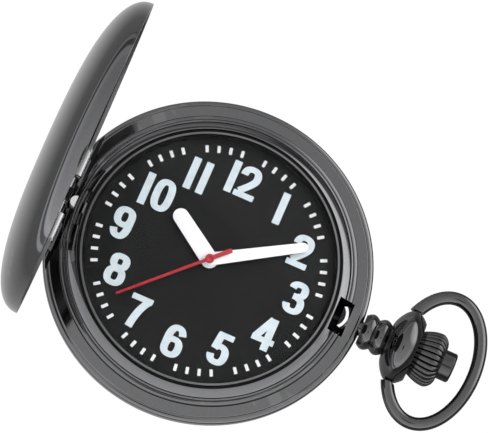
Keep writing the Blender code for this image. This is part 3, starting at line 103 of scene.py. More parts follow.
# %% [markdown]
# Polished metal shows the room more than it shows itself. A product table is white below and at the
# horizon, and dim straight above, where the camera hides a dark patch. A gradient by height gives the
# first, and a soft dark spot round the camera's direction gives the second.

# %% Room round the watch
HORIZON_GLOW = 0.34
OVERHEAD_GLOW = 0.76
CAMERA_SHADE = 0.12
BRIGHT_SIDE = (0.10, -0.42, 0.0)
PANEL_TOWARDS = Vector((0.66, 0.66, 0.34)).normalized()
PANEL_GLOW = 1.4
# CARD_SHADE dims the white sheet's glow towards the crown side: painted shade.
CARD_SHADE = 0.72
LEFT_STOPS = (
    (0.010, 0.80), (0.095, 0.85), (0.115, 0.27), (0.215, 0.27),
    (0.245, 1.00), (0.330, 1.05), (0.460, 0.85), (0.700, OVERHEAD_GLOW),
)  # fmt: skip
RIGHT_STOPS = ((0.090, 0.10), (0.150, 0.95), (0.330, 1.05), (0.460, 0.85), (0.700, OVERHEAD_GLOW))

room = bpy.data.worlds.new("studio_room")
room.use_nodes = True
scene.world = room
scene.view_settings.view_transform = "Standard"
sky = room.node_tree
direction = sky.nodes.new("ShaderNodeTexCoord")
height = sky.nodes.new("ShaderNodeSeparateXYZ")
spot = sky.nodes.new("ShaderNodeVectorMath")
shade = sky.nodes.new("ShaderNodeMapRange")


def wall_glow(stops, horizon):
    """A ramp of light from the horizon up to the point overhead."""
    node = sky.nodes.new("ShaderNodeValToRGB")
    ramp = node.color_ramp
    ramp.interpolation = "EASE"
    for place, value in stops:
        ramp.elements.new(place).color = (value, value, value * 1.01, 1.0)
    ramp.elements[0].color = (horizon, horizon, horizon, 1.0)
    ramp.elements[-1].color = (OVERHEAD_GLOW, OVERHEAD_GLOW, OVERHEAD_GLOW, 1.0)
    sky.links.new(height.outputs["Z"], node.inputs["Fac"])
    return node.outputs["Color"]


glow = sky.nodes.new("ShaderNodeMix")
glow.data_type = "RGBA"
right_half = sky.nodes.new("ShaderNodeMapRange")
right_half.interpolation_type = "SMOOTHSTEP"
right_half.inputs["From Min"].default_value = -0.20
right_half.inputs["From Max"].default_value = 0.25
sky.links.new(height.outputs["X"], right_half.inputs["Value"])
sky.links.new(right_half.outputs["Result"], glow.inputs[0])
sky.links.new(wall_glow(LEFT_STOPS, HORIZON_GLOW), glow.inputs[6])
sky.links.new(wall_glow(RIGHT_STOPS, 0.10), glow.inputs[7])
spot.operation = "DOT_PRODUCT"
spot.inputs[1].default_value = towards_camera
shade.interpolation_type = "SMOOTHSTEP"
shade.inputs["From Min"].default_value = 0.984
shade.inputs["From Max"].default_value = 0.996
shade.inputs["To Min"].default_value = 1.0
shade.inputs["To Max"].default_value = CAMERA_SHADE
sideways = sky.nodes.new("ShaderNodeVectorMath")
sideways.operation = "DOT_PRODUCT"
sideways.inputs[1].default_value = BRIGHT_SIDE
strength = sky.nodes.new("ShaderNodeMath")
strength.operation = "MULTIPLY_ADD"
facing = sky.nodes.new("ShaderNodeVectorMath")
facing.operation = "DOT_PRODUCT"
facing.inputs[1].default_value = PANEL_TOWARDS
panel = sky.nodes.new("ShaderNodeMapRange")
panel.interpolation_type = "SMOOTHSTEP"
panel.inputs["From Min"].default_value = 0.76
panel.inputs["From Max"].default_value = 0.94
panel.inputs["To Max"].default_value = PANEL_GLOW
total = sky.nodes.new("ShaderNodeMath")
seen = sky.nodes.new("ShaderNodeLightPath")
paper = sky.nodes.new("ShaderNodeBackground")
either = sky.nodes.new("ShaderNodeMixShader")
backdrop = sky.nodes["Background"]
sky.links.new(direction.outputs["Generated"], height.inputs[0])
sky.links.new(direction.outputs["Generated"], spot.inputs[0])
sky.links.new(spot.outputs["Value"], shade.inputs["Value"])
sky.links.new(glow.outputs[2], backdrop.inputs["Color"])
sky.links.new(direction.outputs["Generated"], sideways.inputs[0])
sky.links.new(shade.outputs["Result"], strength.inputs[0])
sky.links.new(sideways.outputs["Value"], strength.inputs[1])
sky.links.new(shade.outputs["Result"], strength.inputs[2])
sky.links.new(direction.outputs["Generated"], facing.inputs[0])
sky.links.new(facing.outputs["Value"], panel.inputs["Value"])
sky.links.new(strength.outputs[0], total.inputs[0])
sky.links.new(panel.outputs["Result"], total.inputs[1])
sky.links.new(total.outputs[0], backdrop.inputs["Strength"])
paper.inputs["Color"].default_value = (1.0, 1.0, 1.0, 1.0)
sky.links.new(seen.outputs["Is Camera Ray"], either.inputs[0])
sky.links.new(backdrop.outputs[0], either.inputs[1])
sky.links.new(paper.outputs[0], either.inputs[2])
sky.links.new(either.outputs[0], sky.nodes["World Output"].inputs["Surface"])
print("room glows from", OVERHEAD_GLOW, "overhead to", HORIZON_GLOW, "at the horizon")

# %% [markdown]
# The hands throw thin shadows towards six o'clock, so one smaller lamp stands high over twelve.

# %% Lamps


def lamp(name, at, size, watts):
    """A square soft lamp that faces the middle of the dial."""
    light = bpy.data.lights.new(name, "AREA")
    light.size = size
    light.energy = watts
    stand = bpy.data.objects.new(name, light)
    stand.location = at
    stand.rotation_euler = (Vector((0, 0, DIAL_TOP * MM)) - stand.location).to_track_quat("-Z", "Y").to_euler()
    stand.visible_glossy = False
    scene.collection.objects.link(stand)
    return stand


lamps = [lamp("key_lamp", (0.16, 0.40, 0.46), 0.6, 1.6)]
print("lamps:", [stand.name for stand in lamps])

# %% [markdown]
# Most surfaces of a watch are one metal or one paint, and what keeps them from looking computed is
# small unevenness. Each kind of unevenness is a node group here: it is built once, has named inputs,
# and every finish places it with its own values. The groups only give out numbers, so the shader
# itself stays in each material.

# %% Helpers that place nodes


def new_group(name, inputs, outputs):
    """An empty shader group with number sockets, and its two end nodes."""
    group = bpy.data.node_groups.new(name, "ShaderNodeTree")
    for label, value in inputs.items():
        socket = group.interface.new_socket(label, in_out="INPUT", socket_type="NodeSocketFloat")
        socket.default_value = value
    for label in outputs:
        group.interface.new_socket(label, in_out="OUTPUT", socket_type="NodeSocketFloat")
    return group, group.nodes.new("NodeGroupInput"), group.nodes.new("NodeGroupOutput")


def add(tree, kind, **values):
    """A node with some of its input sockets set."""
    node = tree.nodes.new(kind)
    for label, value in values.items():
        node.inputs[label.replace("_", " ")].default_value = value
    return node


def noise(tree, scale_socket, detail=3.0):
    """Noise on the piece's own coordinates, so that it moves with the piece."""
    coords = tree.nodes.new("ShaderNodeTexCoord")
    texture = add(tree, "ShaderNodeTexNoise", Detail=detail)
    tree.links.new(coords.outputs["Object"], texture.inputs["Vector"])
    tree.links.new(scale_socket, texture.inputs["Scale"])
    return texture


def spread(tree, value, low, high):
    """Maps the middle of a noise on to the span between two sockets or numbers."""
    node = add(tree, "ShaderNodeMapRange", From_Min=0.3, From_Max=0.7)
    tree.links.new(value, node.inputs["Value"])
    for label, bound in (("To Min", low), ("To Max", high)):
        if isinstance(bound, float):
            node.inputs[label].default_value = bound
        else:
            tree.links.new(bound, node.inputs[label])
    return node.outputs["Result"]


print("node helpers ready")

# %% Hand polish: cloudy haze and faint ripples
haze, given, result = new_group(
    "hand_polish", {"Cells": 300.0, "Smooth": 0.1, "Hazy": 0.2}, ["Roughness", "Tone", "Height"]
)
clouds = noise(haze, given.outputs["Cells"])
finer = haze.nodes.new("ShaderNodeMath")
finer.operation = "MULTIPLY"
finer.inputs[1].default_value = 9.0
haze.links.new(given.outputs["Cells"], finer.inputs[0])
ripples = noise(haze, finer.outputs[0], 5.0)
haze.links.new(
    spread(haze, clouds.outputs["Fac"], given.outputs["Smooth"], given.outputs["Hazy"]), result.inputs["Roughness"]
)
haze.links.new(spread(haze, ripples.outputs["Fac"], 0.0, 1.0), result.inputs["Tone"])
haze.links.new(ripples.outputs["Fac"], result.inputs["Height"])
print("group:", haze.name)

# %% Edge rub and crease shade: plating worn bright on outer corners, painted shade in creases
rub_and_shade, given, result = new_group("edge_rub_and_crease_shade", {"Sharpness": 1.0}, ["Mask", "CreaseShade"])
corner = rub_and_shade.nodes.new("ShaderNodeNewGeometry")
worn = add(rub_and_shade, "ShaderNodeMapRange", From_Min=0.52, From_Max=0.60)
strength = rub_and_shade.nodes.new("ShaderNodeMath")
strength.operation = "MULTIPLY"
rub_and_shade.links.new(corner.outputs["Pointiness"], worn.inputs["Value"])
rub_and_shade.links.new(worn.outputs["Result"], strength.inputs[0])
rub_and_shade.links.new(given.outputs["Sharpness"], strength.inputs[1])
rub_and_shade.links.new(strength.outputs[0], result.inputs["Mask"])
# The second mask is painted shade: it darkens creases and steps, where pointiness is low.
crease_shade = add(rub_and_shade, "ShaderNodeMapRange", From_Min=0.497, From_Max=0.465)
rub_and_shade.links.new(corner.outputs["Pointiness"], crease_shade.inputs["Value"])
rub_and_shade.links.new(crease_shade.outputs["Result"], result.inputs["CreaseShade"])
print("group:", rub_and_shade.name)

# %% Drawn lines: the lay of a brush or a rolling mill
lines, given, result = new_group("drawn_lines", {"Fineness": 9000.0, "Stretch": 0.05}, ["Tone", "Height"])
coords = lines.nodes.new("ShaderNodeTexCoord")
parts = lines.nodes.new("ShaderNodeSeparateXYZ")
whole = lines.nodes.new("ShaderNodeCombineXYZ")
lay = lines.nodes.new("ShaderNodeMath")
lay.operation = "MULTIPLY"
strands = add(lines, "ShaderNodeTexNoise", Detail=2.0)
lines.links.new(coords.outputs["Object"], parts.inputs[0])
lines.links.new(parts.outputs["X"], lay.inputs[0])
lines.links.new(given.outputs["Stretch"], lay.inputs[1])
lines.links.new(lay.outputs[0], whole.inputs["X"])
lines.links.new(parts.outputs["Y"], whole.inputs["Y"])
lines.links.new(parts.outputs["Z"], whole.inputs["Z"])
lines.links.new(whole.outputs[0], strands.inputs["Vector"])
lines.links.new(given.outputs["Fineness"], strands.inputs["Scale"])
lines.links.new(spread(lines, strands.outputs["Fac"], 0.0, 1.0), result.inputs["Tone"])
lines.links.new(strands.outputs["Fac"], result.inputs["Height"])
print("group:", lines.name)

# %% Fine grain: the tooth of paint, plastic and rubber
grain, given, result = new_group("fine_grain", {"Fineness": 8000.0, "Patch": 400.0}, ["Tone", "Patches", "Height"])
teeth = noise(grain, given.outputs["Fineness"], 2.0)
patches = noise(grain, given.outputs["Patch"], 3.0)
grain.links.new(spread(grain, teeth.outputs["Fac"], 0.0, 1.0), result.inputs["Tone"])
grain.links.new(spread(grain, patches.outputs["Fac"], 0.0, 1.0), result.inputs["Patches"])
grain.links.new(teeth.outputs["Fac"], result.inputs["Height"])
print("group:", grain.name)

# %% [markdown]
# The case is plated in polished gunmetal: a dark grey mirror. The mirror comes from the metal shader,
# the haze group breaks its gloss, and the edge group lightens the corners that a pocket rubs and
# darkens the creases with painted shade.

# %% Metal finishes


def blank(name):
    """A new material, its node tree and its Principled shader."""
    material = bpy.data.materials.new(name)
    material.use_nodes = True
    tree = material.node_tree
    return material, tree, tree.nodes["Principled BSDF"]


def use(tree, group, **values):
    """Places a shared group in a material with its own values."""
    node = tree.nodes.new("ShaderNodeGroup")
    node.node_tree = group
    for label, value in values.items():
        node.inputs[label].default_value = value
    return node


def mixed(tree, factor, first, second):
    """A colour between two, by a mask. Either colour may be a colour or a socket."""
    node = tree.nodes.new("ShaderNodeMix")
    node.data_type = "RGBA"
    tree.links.new(factor, node.inputs[0])
    for place, colour in ((6, first), (7, second)):
        if isinstance(colour, tuple):
            node.inputs[place].default_value = (*colour, 1.0)
        else:
            tree.links.new(colour, node.inputs[place])
    return node.outputs[2]


def bump(tree, shader, height, strength, depth):
    node = add(tree, "ShaderNodeBump", Strength=strength, Distance=depth * MM)
    tree.links.new(height, node.inputs["Height"])
    tree.links.new(node.outputs["Normal"], shader.inputs["Normal"])


def polished_metal(name, dark, light, rubbed, smooth, hazy, edge, cells=260.0):
    material, tree, shader = blank(name)
    polish = use(tree, haze, Cells=cells, Smooth=smooth, Hazy=hazy)
    wear_and_shade = use(tree, rub_and_shade, Sharpness=edge)
    body = mixed(tree, polish.outputs["Tone"], dark, light)
    worn_body = mixed(tree, wear_and_shade.outputs["Mask"], body, rubbed)
    # Painted shade: in creases the base colour falls to a fifth of the dark tone.
    crease_shade_colour = tuple(0.18 * value for value in dark)
    tree.links.new(mixed(tree, wear_and_shade.outputs["CreaseShade"], worn_body, crease_shade_colour), shader.inputs["Base Color"])
    tree.links.new(polish.outputs["Roughness"], shader.inputs["Roughness"])
    bump(tree, shader, polish.outputs["Height"], 0.03, 0.02)
    shader.inputs["Metallic"].default_value = 1.0
    return material


def drawn_metal(name, dark, light, smooth, fineness):
    material, tree, shader = blank(name)
    drawn = use(tree, lines, Fineness=fineness)
    polish = use(tree, haze, Smooth=smooth, Hazy=smooth + 0.15)
    tree.links.new(mixed(tree, drawn.outputs["Tone"], dark, light), shader.inputs["Base Color"])
    tree.links.new(polish.outputs["Roughness"], shader.inputs["Roughness"])
    bump(tree, shader, drawn.outputs["Height"], 0.15, 0.01)
    shader.inputs["Metallic"].default_value = 1.0
    return material


gunmetal = polished_metal(
    "polished_gunmetal", (0.195, 0.196, 0.200), (0.210, 0.211, 0.215), (0.29, 0.29, 0.295), 0.04, 0.08, 0.6
)
# A darker copy of the case metal for the pendant and bow: painted shade.
stem_shaded_metal = polished_metal(
    "gunmetal_painted_shade", (0.140, 0.140, 0.143), (0.154, 0.154, 0.157), (0.22, 0.22, 0.223), 0.05, 0.09, 0.5
)
# A near-black copy of the case metal for the inside of the lid: painted shade.
lid_lining_shade = polished_metal(
    "lining_painted_shade", (0.030, 0.030, 0.032), (0.038, 0.038, 0.040), (0.06, 0.06, 0.062), 0.12, 0.20, 0.3
)
# A darker, rougher copy of the case metal for crown and button: a satin finish, darkened as painted shade.
crown_shaded_metal = polished_metal(
    "satin_gunmetal_painted_shade", (0.105, 0.105, 0.108), (0.120, 0.120, 0.123), (0.17, 0.17, 0.173), 0.16, 0.24, 0.5
)
# A much lighter copy of the case metal for the lid's faces by the hinge: painted highlight.
cheek_highlight_metal = polished_metal(
    "gunmetal_painted_highlight", (0.44, 0.44, 0.445), (0.50, 0.50, 0.505), (0.56, 0.56, 0.565), 0.22, 0.30, 0.4
)
# A lighter, rougher copy of the case metal for the lid's rim and lip: a satin finish with a painted sheen.
rim_satin_sheen = polished_metal(
    "satin_rim_painted_sheen", (0.26, 0.26, 0.265), (0.30, 0.30, 0.305), (0.36, 0.36, 0.365), 0.38, 0.48, 0.4
)
# Near-black steel; on the latch spring its dark colour is painted shade that keeps the catch slot black.
dark_steel = drawn_metal("dark_steel", (0.030, 0.030, 0.034), (0.045, 0.045, 0.050), 0.35, 9000.0)
steel = drawn_metal("rolled_steel", (0.50, 0.50, 0.51), (0.62, 0.62, 0.63), 0.22, 9000.0)
brass = drawn_metal("rolled_brass", (0.62, 0.45, 0.19), (0.72, 0.54, 0.26), 0.24, 7000.0)
copper = drawn_metal("wound_copper", (0.55, 0.24, 0.12), (0.72, 0.36, 0.20), 0.30, 16000.0)
print("metals:", [metal.name for metal in (gunmetal, crown_shaded_metal, cheek_highlight_metal, rim_satin_sheen, dark_steel, steel, brass, copper)])

# %% [markdown]
# Dial, hands and gaskets are paint, plastic or rubber. They share the grain group: a fine tooth that
# softens the gloss, and slow patches that shift the colour by a shade, as a brushed coat of paint does.

# %% Painted, moulded and printed finishes


def coated(name, dark, light, smooth, rough, fineness, relief, patch=400.0, gloss=0.4):
    material, tree, shader = blank(name)
    tooth = use(tree, grain, Fineness=fineness, Patch=patch)
    tree.links.new(mixed(tree, tooth.outputs["Patches"], dark, light), shader.inputs["Base Color"])
    tree.links.new(spread(tree, tooth.outputs["Tone"], smooth, rough), shader.inputs["Roughness"])
    bump(tree, shader, tooth.outputs["Height"], relief, 0.02)
    shader.inputs["Specular IOR Level"].default_value = gloss
    return material


dial_black = coated(
    "matte_dial_black", (0.0065, 0.0065, 0.0068), (0.0085, 0.0085, 0.0088), 0.5, 0.7, 6000.0, 0.25, gloss=0.15
)
wall_black = coated("satin_wall_black", (0.003, 0.003, 0.003), (0.005, 0.005, 0.005), 0.5, 0.65, 5000.0, 0.15, gloss=0.15)
# A near-white coat that stands for bright reflections: painted glint on the lift spring and the catch.
white_glint_coat = coated("white_glint_coat", (0.86, 0.86, 0.86), (0.93, 0.93, 0.93), 0.35, 0.5, 9000.0, 0.1)
# Grey ground glass for the ring on the crystal's edge; its light grey is a painted highlight.
ground_glass_highlight = coated("ground_glass_highlight", (0.13, 0.13, 0.133), (0.16, 0.16, 0.163), 0.5, 0.65, 9000.0, 0.2)
rubber = coated("black_rubber", (0.004, 0.004, 0.004), (0.007, 0.007, 0.007), 0.6, 0.8, 4000.0, 0.4, gloss=0.2)
numeral_paint = coated("pale_lume_paint", (0.53, 0.60, 0.64), (0.62, 0.69, 0.73), 0.5, 0.7, 7000.0, 0.35, 900.0)
tick_paint = coated("white_tick_paint", (0.72, 0.73, 0.74), (0.82, 0.83, 0.84), 0.5, 0.7, 7000.0, 0.3)
hand_white = coated("white_hand_enamel", (0.82, 0.82, 0.84), (0.88, 0.88, 0.90), 0.3, 0.45, 5000.0, 0.1)
hand_red = coated("red_hand_enamel", (0.32, 0.013, 0.022), (0.40, 0.020, 0.030), 0.25, 0.4, 5000.0, 0.1)
holder_plastic = coated("natural_plastic", (0.62, 0.61, 0.57), (0.70, 0.69, 0.65), 0.4, 0.55, 3000.0, 0.2)
board_green = coated("green_board", (0.010, 0.11, 0.035), (0.016, 0.15, 0.05), 0.3, 0.45, 5000.0, 0.3)
print("coats:", len([m for m in bpy.data.materials if m.name.startswith(("matte", "satin_wall", "black", "pale"))]))

# %% [markdown]
# The crystal is one thick piece of clear mineral glass. Light that only passes through on its way to
# the dial is let straight through, so the dial is lit evenly; what the eye sees is still real glass.

# %% Crystal glass
glass, tree, shader = blank("mineral_glass")
polish = use(tree, haze, Cells=120.0, Smooth=0.0, Hazy=0.012)
tree.links.new(polish.outputs["Roughness"], shader.inputs["Roughness"])
shader.inputs["Base Color"].default_value = (0.985, 0.99, 0.99, 1.0)
shader.inputs["Transmission Weight"].default_value = 1.0
shader.inputs["IOR"].default_value = 1.1
passing = tree.nodes.new("ShaderNodeLightPath")
clear = tree.nodes.new("ShaderNodeBsdfTransparent")
choice = tree.nodes.new("ShaderNodeMixShader")
tree.links.new(passing.outputs["Is Shadow Ray"], choice.inputs[0])
tree.links.new(shader.outputs["BSDF"], choice.inputs[1])
tree.links.new(clear.outputs["BSDF"], choice.inputs[2])
tree.links.new(choice.outputs["Shader"], tree.nodes["Material Output"].inputs["Surface"])
print("glass:", glass.name)

# %% [markdown]
# The watch lies on a white sheet. The camera always sees it plain white. To everything else it glows as
# painted light: a pool of light round the watch that fades outwards, with painted shade towards the crown side.

# %% White sheet under the watch
FLOOR_HALF_WIDTH = 3.0
FLOOR_DROP = 0.02

LIT_RADIUS = 0.035
DIM_RADIUS = 0.140
LIT_SHEET = 0.55
DIM_SHEET = 0.30

sheet, tree, shader = blank("white_sheet")
fibres = use(tree, grain, Fineness=900.0, Patch=20.0)
coords = tree.nodes.new("ShaderNodeTexCoord")
reach = tree.nodes.new("ShaderNodeVectorMath")
reach.operation = "LENGTH"
# Painted light: the sheet's glow is brightest round the watch and fades outwards.
painted_light_pool = add(tree, "ShaderNodeMapRange", From_Min=LIT_RADIUS, From_Max=DIM_RADIUS, To_Min=LIT_SHEET, To_Max=DIM_SHEET)
painted_light_pool.interpolation_type = "SMOOTHSTEP"
seen = tree.nodes.new("ShaderNodeLightPath")
across = tree.nodes.new("ShaderNodeSeparateXYZ")
# Painted shade: the glow is dimmed towards the crown side of the case.
painted_shade_crown_side = add(tree, "ShaderNodeMapRange", From_Min=0.005, From_Max=0.035, To_Min=1.0, To_Max=1.0 - CARD_SHADE)
painted_shade_crown_side.interpolation_type = "SMOOTHSTEP"
shaded_light_pool = tree.nodes.new("ShaderNodeMath")
shaded_light_pool.operation = "MULTIPLY"
plain = tree.nodes.new("ShaderNodeMath")
plain.operation = "MAXIMUM"
tree.links.new(coords.outputs["Object"], reach.inputs[0])
tree.links.new(reach.outputs["Value"], painted_light_pool.inputs["Value"])
tree.links.new(coords.outputs["Object"], across.inputs[0])
tree.links.new(across.outputs["X"], painted_shade_crown_side.inputs["Value"])
tree.links.new(painted_light_pool.outputs["Result"], shaded_light_pool.inputs[0])
tree.links.new(painted_shade_crown_side.outputs["Result"], shaded_light_pool.inputs[1])
tree.links.new(shaded_light_pool.outputs[0], plain.inputs[0])
tree.links.new(seen.outputs["Is Camera Ray"], plain.inputs[1])
tree.links.new(mixed(tree, fibres.outputs["Patches"], (0.02, 0.02, 0.02), (0.03, 0.03, 0.03)), shader.inputs["Base Color"])
tree.links.new(plain.outputs[0], shader.inputs["Emission Strength"])
shader.inputs["Roughness"].default_value = 0.8
shader.inputs["Specular IOR Level"].default_value = 0.0
shader.inputs["Emission Color"].default_value = (1.0, 1.0, 1.0, 1.0)
bpy.ops.mesh.primitive_plane_add(size=2 * FLOOR_HALF_WIDTH, location=(0, 0, -FLOOR_DROP * MM))
floor = bpy.context.object
floor.name = "white_floor"
floor.data.materials.append(sheet)
print("floor lies", FLOOR_DROP, "mm under the case back")

# %% [markdown]
# Almost every visible piece is turned on a lathe, so the main tool is a profile spun round an axis.
# Real turned edges are never knife sharp: each corner of a profile is eased by a small curve, and
# those curves catch the thin bright lines that make metal look like metal.

# %% Turning tools
LEAST_STEP = 0.0001
OFF_LINE = 0.013
OVERLAP = 0.02


def eased(profile, ease, ring, least_bend=0.35):
    """The profile with each true corner replaced by a short curve."""
    soft = []
    last = len(profile) - 1
    for place, corner in enumerate(profile):
        before = Vector(profile[place - 1])
        after = Vector(profile[(place + 1) % len(profile)])
        at = Vector(corner)
        into, out = at - before, after - at
        at_end = not ring and place in (0, last)
        if at_end or min(into.length, out.length) < 1e-6 or abs(into.angle_signed(out)) < least_bend:
            soft.append(tuple(at))
            continue
        back, on = min(ease, 0.36 * into.length), min(ease, 0.36 * out.length)
        start = at - into.normalized() * back
        end = at + out.normalized() * on
        soft.append(tuple(start - into.normalized() * 0.25 * back))
        for step in (0.0, 0.33, 0.67, 1.0):
            soft.append(tuple(start * (1 - step) ** 2 + at * 2 * step * (1 - step) + end * step**2))
        soft.append(tuple(end + out.normalized() * 0.25 * on))
    return soft


def mesh_object(name, shape):
    """A linked object from a finished bmesh."""
    bmesh.ops.recalc_face_normals(shape, faces=shape.faces)
    mesh = bpy.data.meshes.new(name)
    shape.to_mesh(mesh)
    shape.free()
    piece = bpy.data.objects.new(name, mesh)
    scene.collection.objects.link(piece)
    return piece


def turned(name, profile, segments=240, ring=True, ease=0.05):
    """A profile of (radius, height) in millimetres, spun round the Z axis."""
    shape = bmesh.new()
    turns = [2 * pi * step / segments for step in range(segments)]
    points = []
    for point in eased(profile, ease, ring):
        if not points or hypot(point[0] - points[-1][0], point[1] - points[-1][1]) > LEAST_STEP:
            points.append(point)
    if ring and hypot(points[0][0] - points[-1][0], points[0][1] - points[-1][1]) < LEAST_STEP:
        points.pop()
    rings = []
    for radius, up in points:
        around = turns if radius > LEAST_STEP else turns[:1]
        rings.append([shape.verts.new((radius * cos(t) * MM, radius * sin(t) * MM, up * MM)) for t in around])
    pairs = list(zip(rings, rings[1:]))
    if ring:
        pairs.append((rings[-1], rings[0]))
    for one, other in pairs:
        for step in range(segments):
            after = (step + 1) % segments
            corners = [one[step % len(one)], one[after % len(one)]]
            corners += [other[after % len(other)], other[step % len(other)]]
            if len(one) + len(other) > 2:
                shape.faces.new(dict.fromkeys(corners))
    return mesh_object(name, shape)


def lay_along_stem(piece, up):
    """Turns a piece made round Z so that it lies along X, at the height of the stem."""
    piece.data.transform(Matrix.Translation((0, 0, up * MM)) @ Matrix.Rotation(pi / 2, 4, "Y"))


def block(low, high):
    """A box between two corners in millimetres, used to cut or to join."""
    shape = bmesh.new()
    bmesh.ops.create_cube(shape, size=1.0)
    size = Vector(high) - Vector(low)
    middle = (Vector(high) + Vector(low)) / 2
    bmesh.ops.scale(shape, vec=size * MM, verts=shape.verts)
    bmesh.ops.translate(shape, vec=middle * MM, verts=shape.verts)
    return mesh_object("block", shape)


def rod(radius, start, end, segments=48):
    """A cylinder between two points in millimetres."""
    shape = bmesh.new()
    line = Vector(end) - Vector(start)
    bmesh.ops.create_cone(
        shape, cap_ends=True, segments=segments, radius1=radius * MM, radius2=radius * MM, depth=line.length * MM
    )
    shape.transform(Matrix.Rotation(OFF_LINE, 4, "Z"))
    turn = line.to_track_quat("Z", "Y").to_matrix().to_4x4()
    middle = (Vector(start) + Vector(end)) / 2 * MM
    shape.transform(Matrix.Translation(middle) @ turn)
    return mesh_object("rod", shape)


def combine(piece, tool, operation="DIFFERENCE"):
    """Cuts a tool out of a piece, or joins it on, and removes the tool."""
    step = piece.modifiers.new("combine", "BOOLEAN")
    step.operation = operation
    step.solver = "EXACT"
    step.object = tool
    bpy.context.view_layer.update()
    made = bpy.data.meshes.new_from_object(piece.evaluated_get(bpy.context.evaluated_depsgraph_get()))
    piece.modifiers.clear()
    piece.data = made
    bpy.data.objects.remove(tool)


def settle(piece, body, node, material, sharp_deg=40.0):
    """Smooth shading, a finish, a body to ride on and the node that it stands for."""
    piece.data.shade_smooth()
    piece.data.set_sharp_from_angle(angle=radians(sharp_deg))
    piece.data.materials.clear()
    piece.data.materials.append(material)
    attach(piece, body)
    if node:
        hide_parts(node)
    print(f"{piece.name}: {len(piece.data.polygons)} faces on {body}")


def curve_points(count, point):
    """Points of a curve, from the function's start at 0 to its end at 1."""
    return [point(step / count) for step in range(count + 1)]


print("turning tools ready")

# %% [markdown]
# The back is a shallow bowl with a flat to lie on. It snaps into the band, so its inner lip goes into
# the profile too: seen through no gap, but it makes the shell a true closed one.

# %% Case back
BACK_FLAT_RADIUS = 13.5
BACK_RIM = (22.2, 3.25)
BACK_WALL = 0.9
BACK_SWEEP = radians(78.0)


def back_point(share, wall=0.0):
    turn = BACK_SWEEP * share
    reach = BACK_RIM[0] - wall - BACK_FLAT_RADIUS
    rise = (BACK_RIM[1] - wall) * (1 - cos(turn)) / (1 - cos(BACK_SWEEP))
    return BACK_FLAT_RADIUS + reach * sin(turn) / sin(BACK_SWEEP), wall + rise


outside = [(0.0, 0.0)] + curve_points(28, back_point)
lip = [(21.05, 3.25), (21.05, 4.2), (20.3, 4.2), (20.3, 3.25)]
inside = list(reversed([(0.0, BACK_WALL)] + curve_points(14, lambda share: back_point(share, BACK_WALL))))
inside = [point for point in inside if point[0] < 20.2]
back = turned("back_shell", outside + lip + inside, ring=False)
settle(back, "case", "case_back", gunmetal)

# %% [markdown]
# The band is the ring that carries everything. It has a flat seat for the lid, a rounded shoulder, and
# a side that curls under to meet the back. The hinge needs a chord cut away and one knuckle put back;
# the catch and the lift spring each need a slot.

# %% Case band
SEAT_INNER = 21.1
SEAT_TOP = DIAL_TOP + 0.08
SEAT_FALL = 0.12
STEP_RADIUS = 22.55
STEP_DROP = 0.18
STEP_WIDTH = 0.16
BAND_WIDEST = (CASE_RADIUS, 6.4)
BAND_BOTTOM = 3.35
BAND_UNDERCUT = 1.28
BAND_SWEEP = radians(72.0)
HINGE = Vector(next(j for j in frame["joints"] if j["name"] == "cover_hinge")["pos_m"]) / MM
KNUCKLE_RADIUS = 0.80
KNUCKLE_HALF = 2.8
PIN_HOLE = 0.42
RELIEF_X = -20.54
RELIEF_DEPTH = 0.42
POCKET_HALF = 7.45
STEM_UP = 6.25
STEM_BORE = 1.15
SLOT_FLOOR = 5.3


def band_point(share):
    turn = BAND_SWEEP * share
    inward = BAND_UNDERCUT * (1 - cos(turn)) / (1 - cos(BAND_SWEEP))
    return CASE_RADIUS - inward, BAND_WIDEST[1] - (BAND_WIDEST[1] - BAND_BOTTOM) * sin(turn) / sin(BAND_SWEEP)


def shoulder_point(share):
    turn = pi / 2 * (1 - share)
    start = STEP_RADIUS + STEP_WIDTH
    return start + (CASE_RADIUS - start) * cos(turn), SEAT_TOP - SEAT_FALL - STEP_DROP - 0.55 * (1 - sin(turn))


def catch_slot():
    return block((19.05, -2.55, SLOT_FLOOR), (21.37, 2.55, 12.0))


def lift_slot():
    return block((-21.61, -1.15, SLOT_FLOOR), (-20.16, 1.15, 12.0))


def hinge_pocket():
    return block((-26.0, -POCKET_HALF, SEAT_TOP - RELIEF_DEPTH), (RELIEF_X + 0.2, POCKET_HALF, 12.0))


seat = [(18.5, 7.15), (SEAT_INNER, 7.15), (SEAT_INNER, SEAT_TOP), (STEP_RADIUS, SEAT_TOP - SEAT_FALL)]
profile = seat + curve_points(14, shoulder_point) + curve_points(24, band_point)
profile += [(21.6, BAND_BOTTOM), (21.6, 6.3), (18.5, 6.3)]
band = turned("case_band", profile, segments=288)
combine(band, rod(STEM_BORE, (19.0, 0.0, STEM_UP), (25.0, 0.0, STEM_UP)))
combine(band, catch_slot())
combine(band, lift_slot())
combine(band, block((-26.0, -26.0, SEAT_TOP - RELIEF_DEPTH), (RELIEF_X, 26.0, 12.0)))
combine(band, hinge_pocket())
neck = rod(KNUCKLE_RADIUS, (HINGE.x, -KNUCKLE_HALF, HINGE.z), (HINGE.x, KNUCKLE_HALF, HINGE.z), 64)
web_half = KNUCKLE_HALF - OVERLAP
web_low = (HINGE.x - KNUCKLE_RADIUS + OVERLAP, -web_half, 6.9)
web_high = (HINGE.x + KNUCKLE_RADIUS - OVERLAP, web_half, HINGE.z)
combine(neck, block(web_low, web_high), "UNION")
combine(band, neck, "UNION")
combine(band, rod(PIN_HOLE, (HINGE.x, -6.0, HINGE.z), (HINGE.x, 6.0, HINGE.z)))
settle(band, "case", "case_middle", gunmetal, 32.0)

# %% [markdown]
# The bezel holds the glass. From its inner crest it falls outwards in one convex sweep, and then two
# fine steps lead down to the seat. The steps are only tenths of a millimetre, yet they draw the thin
# light and dark rings round the dial.

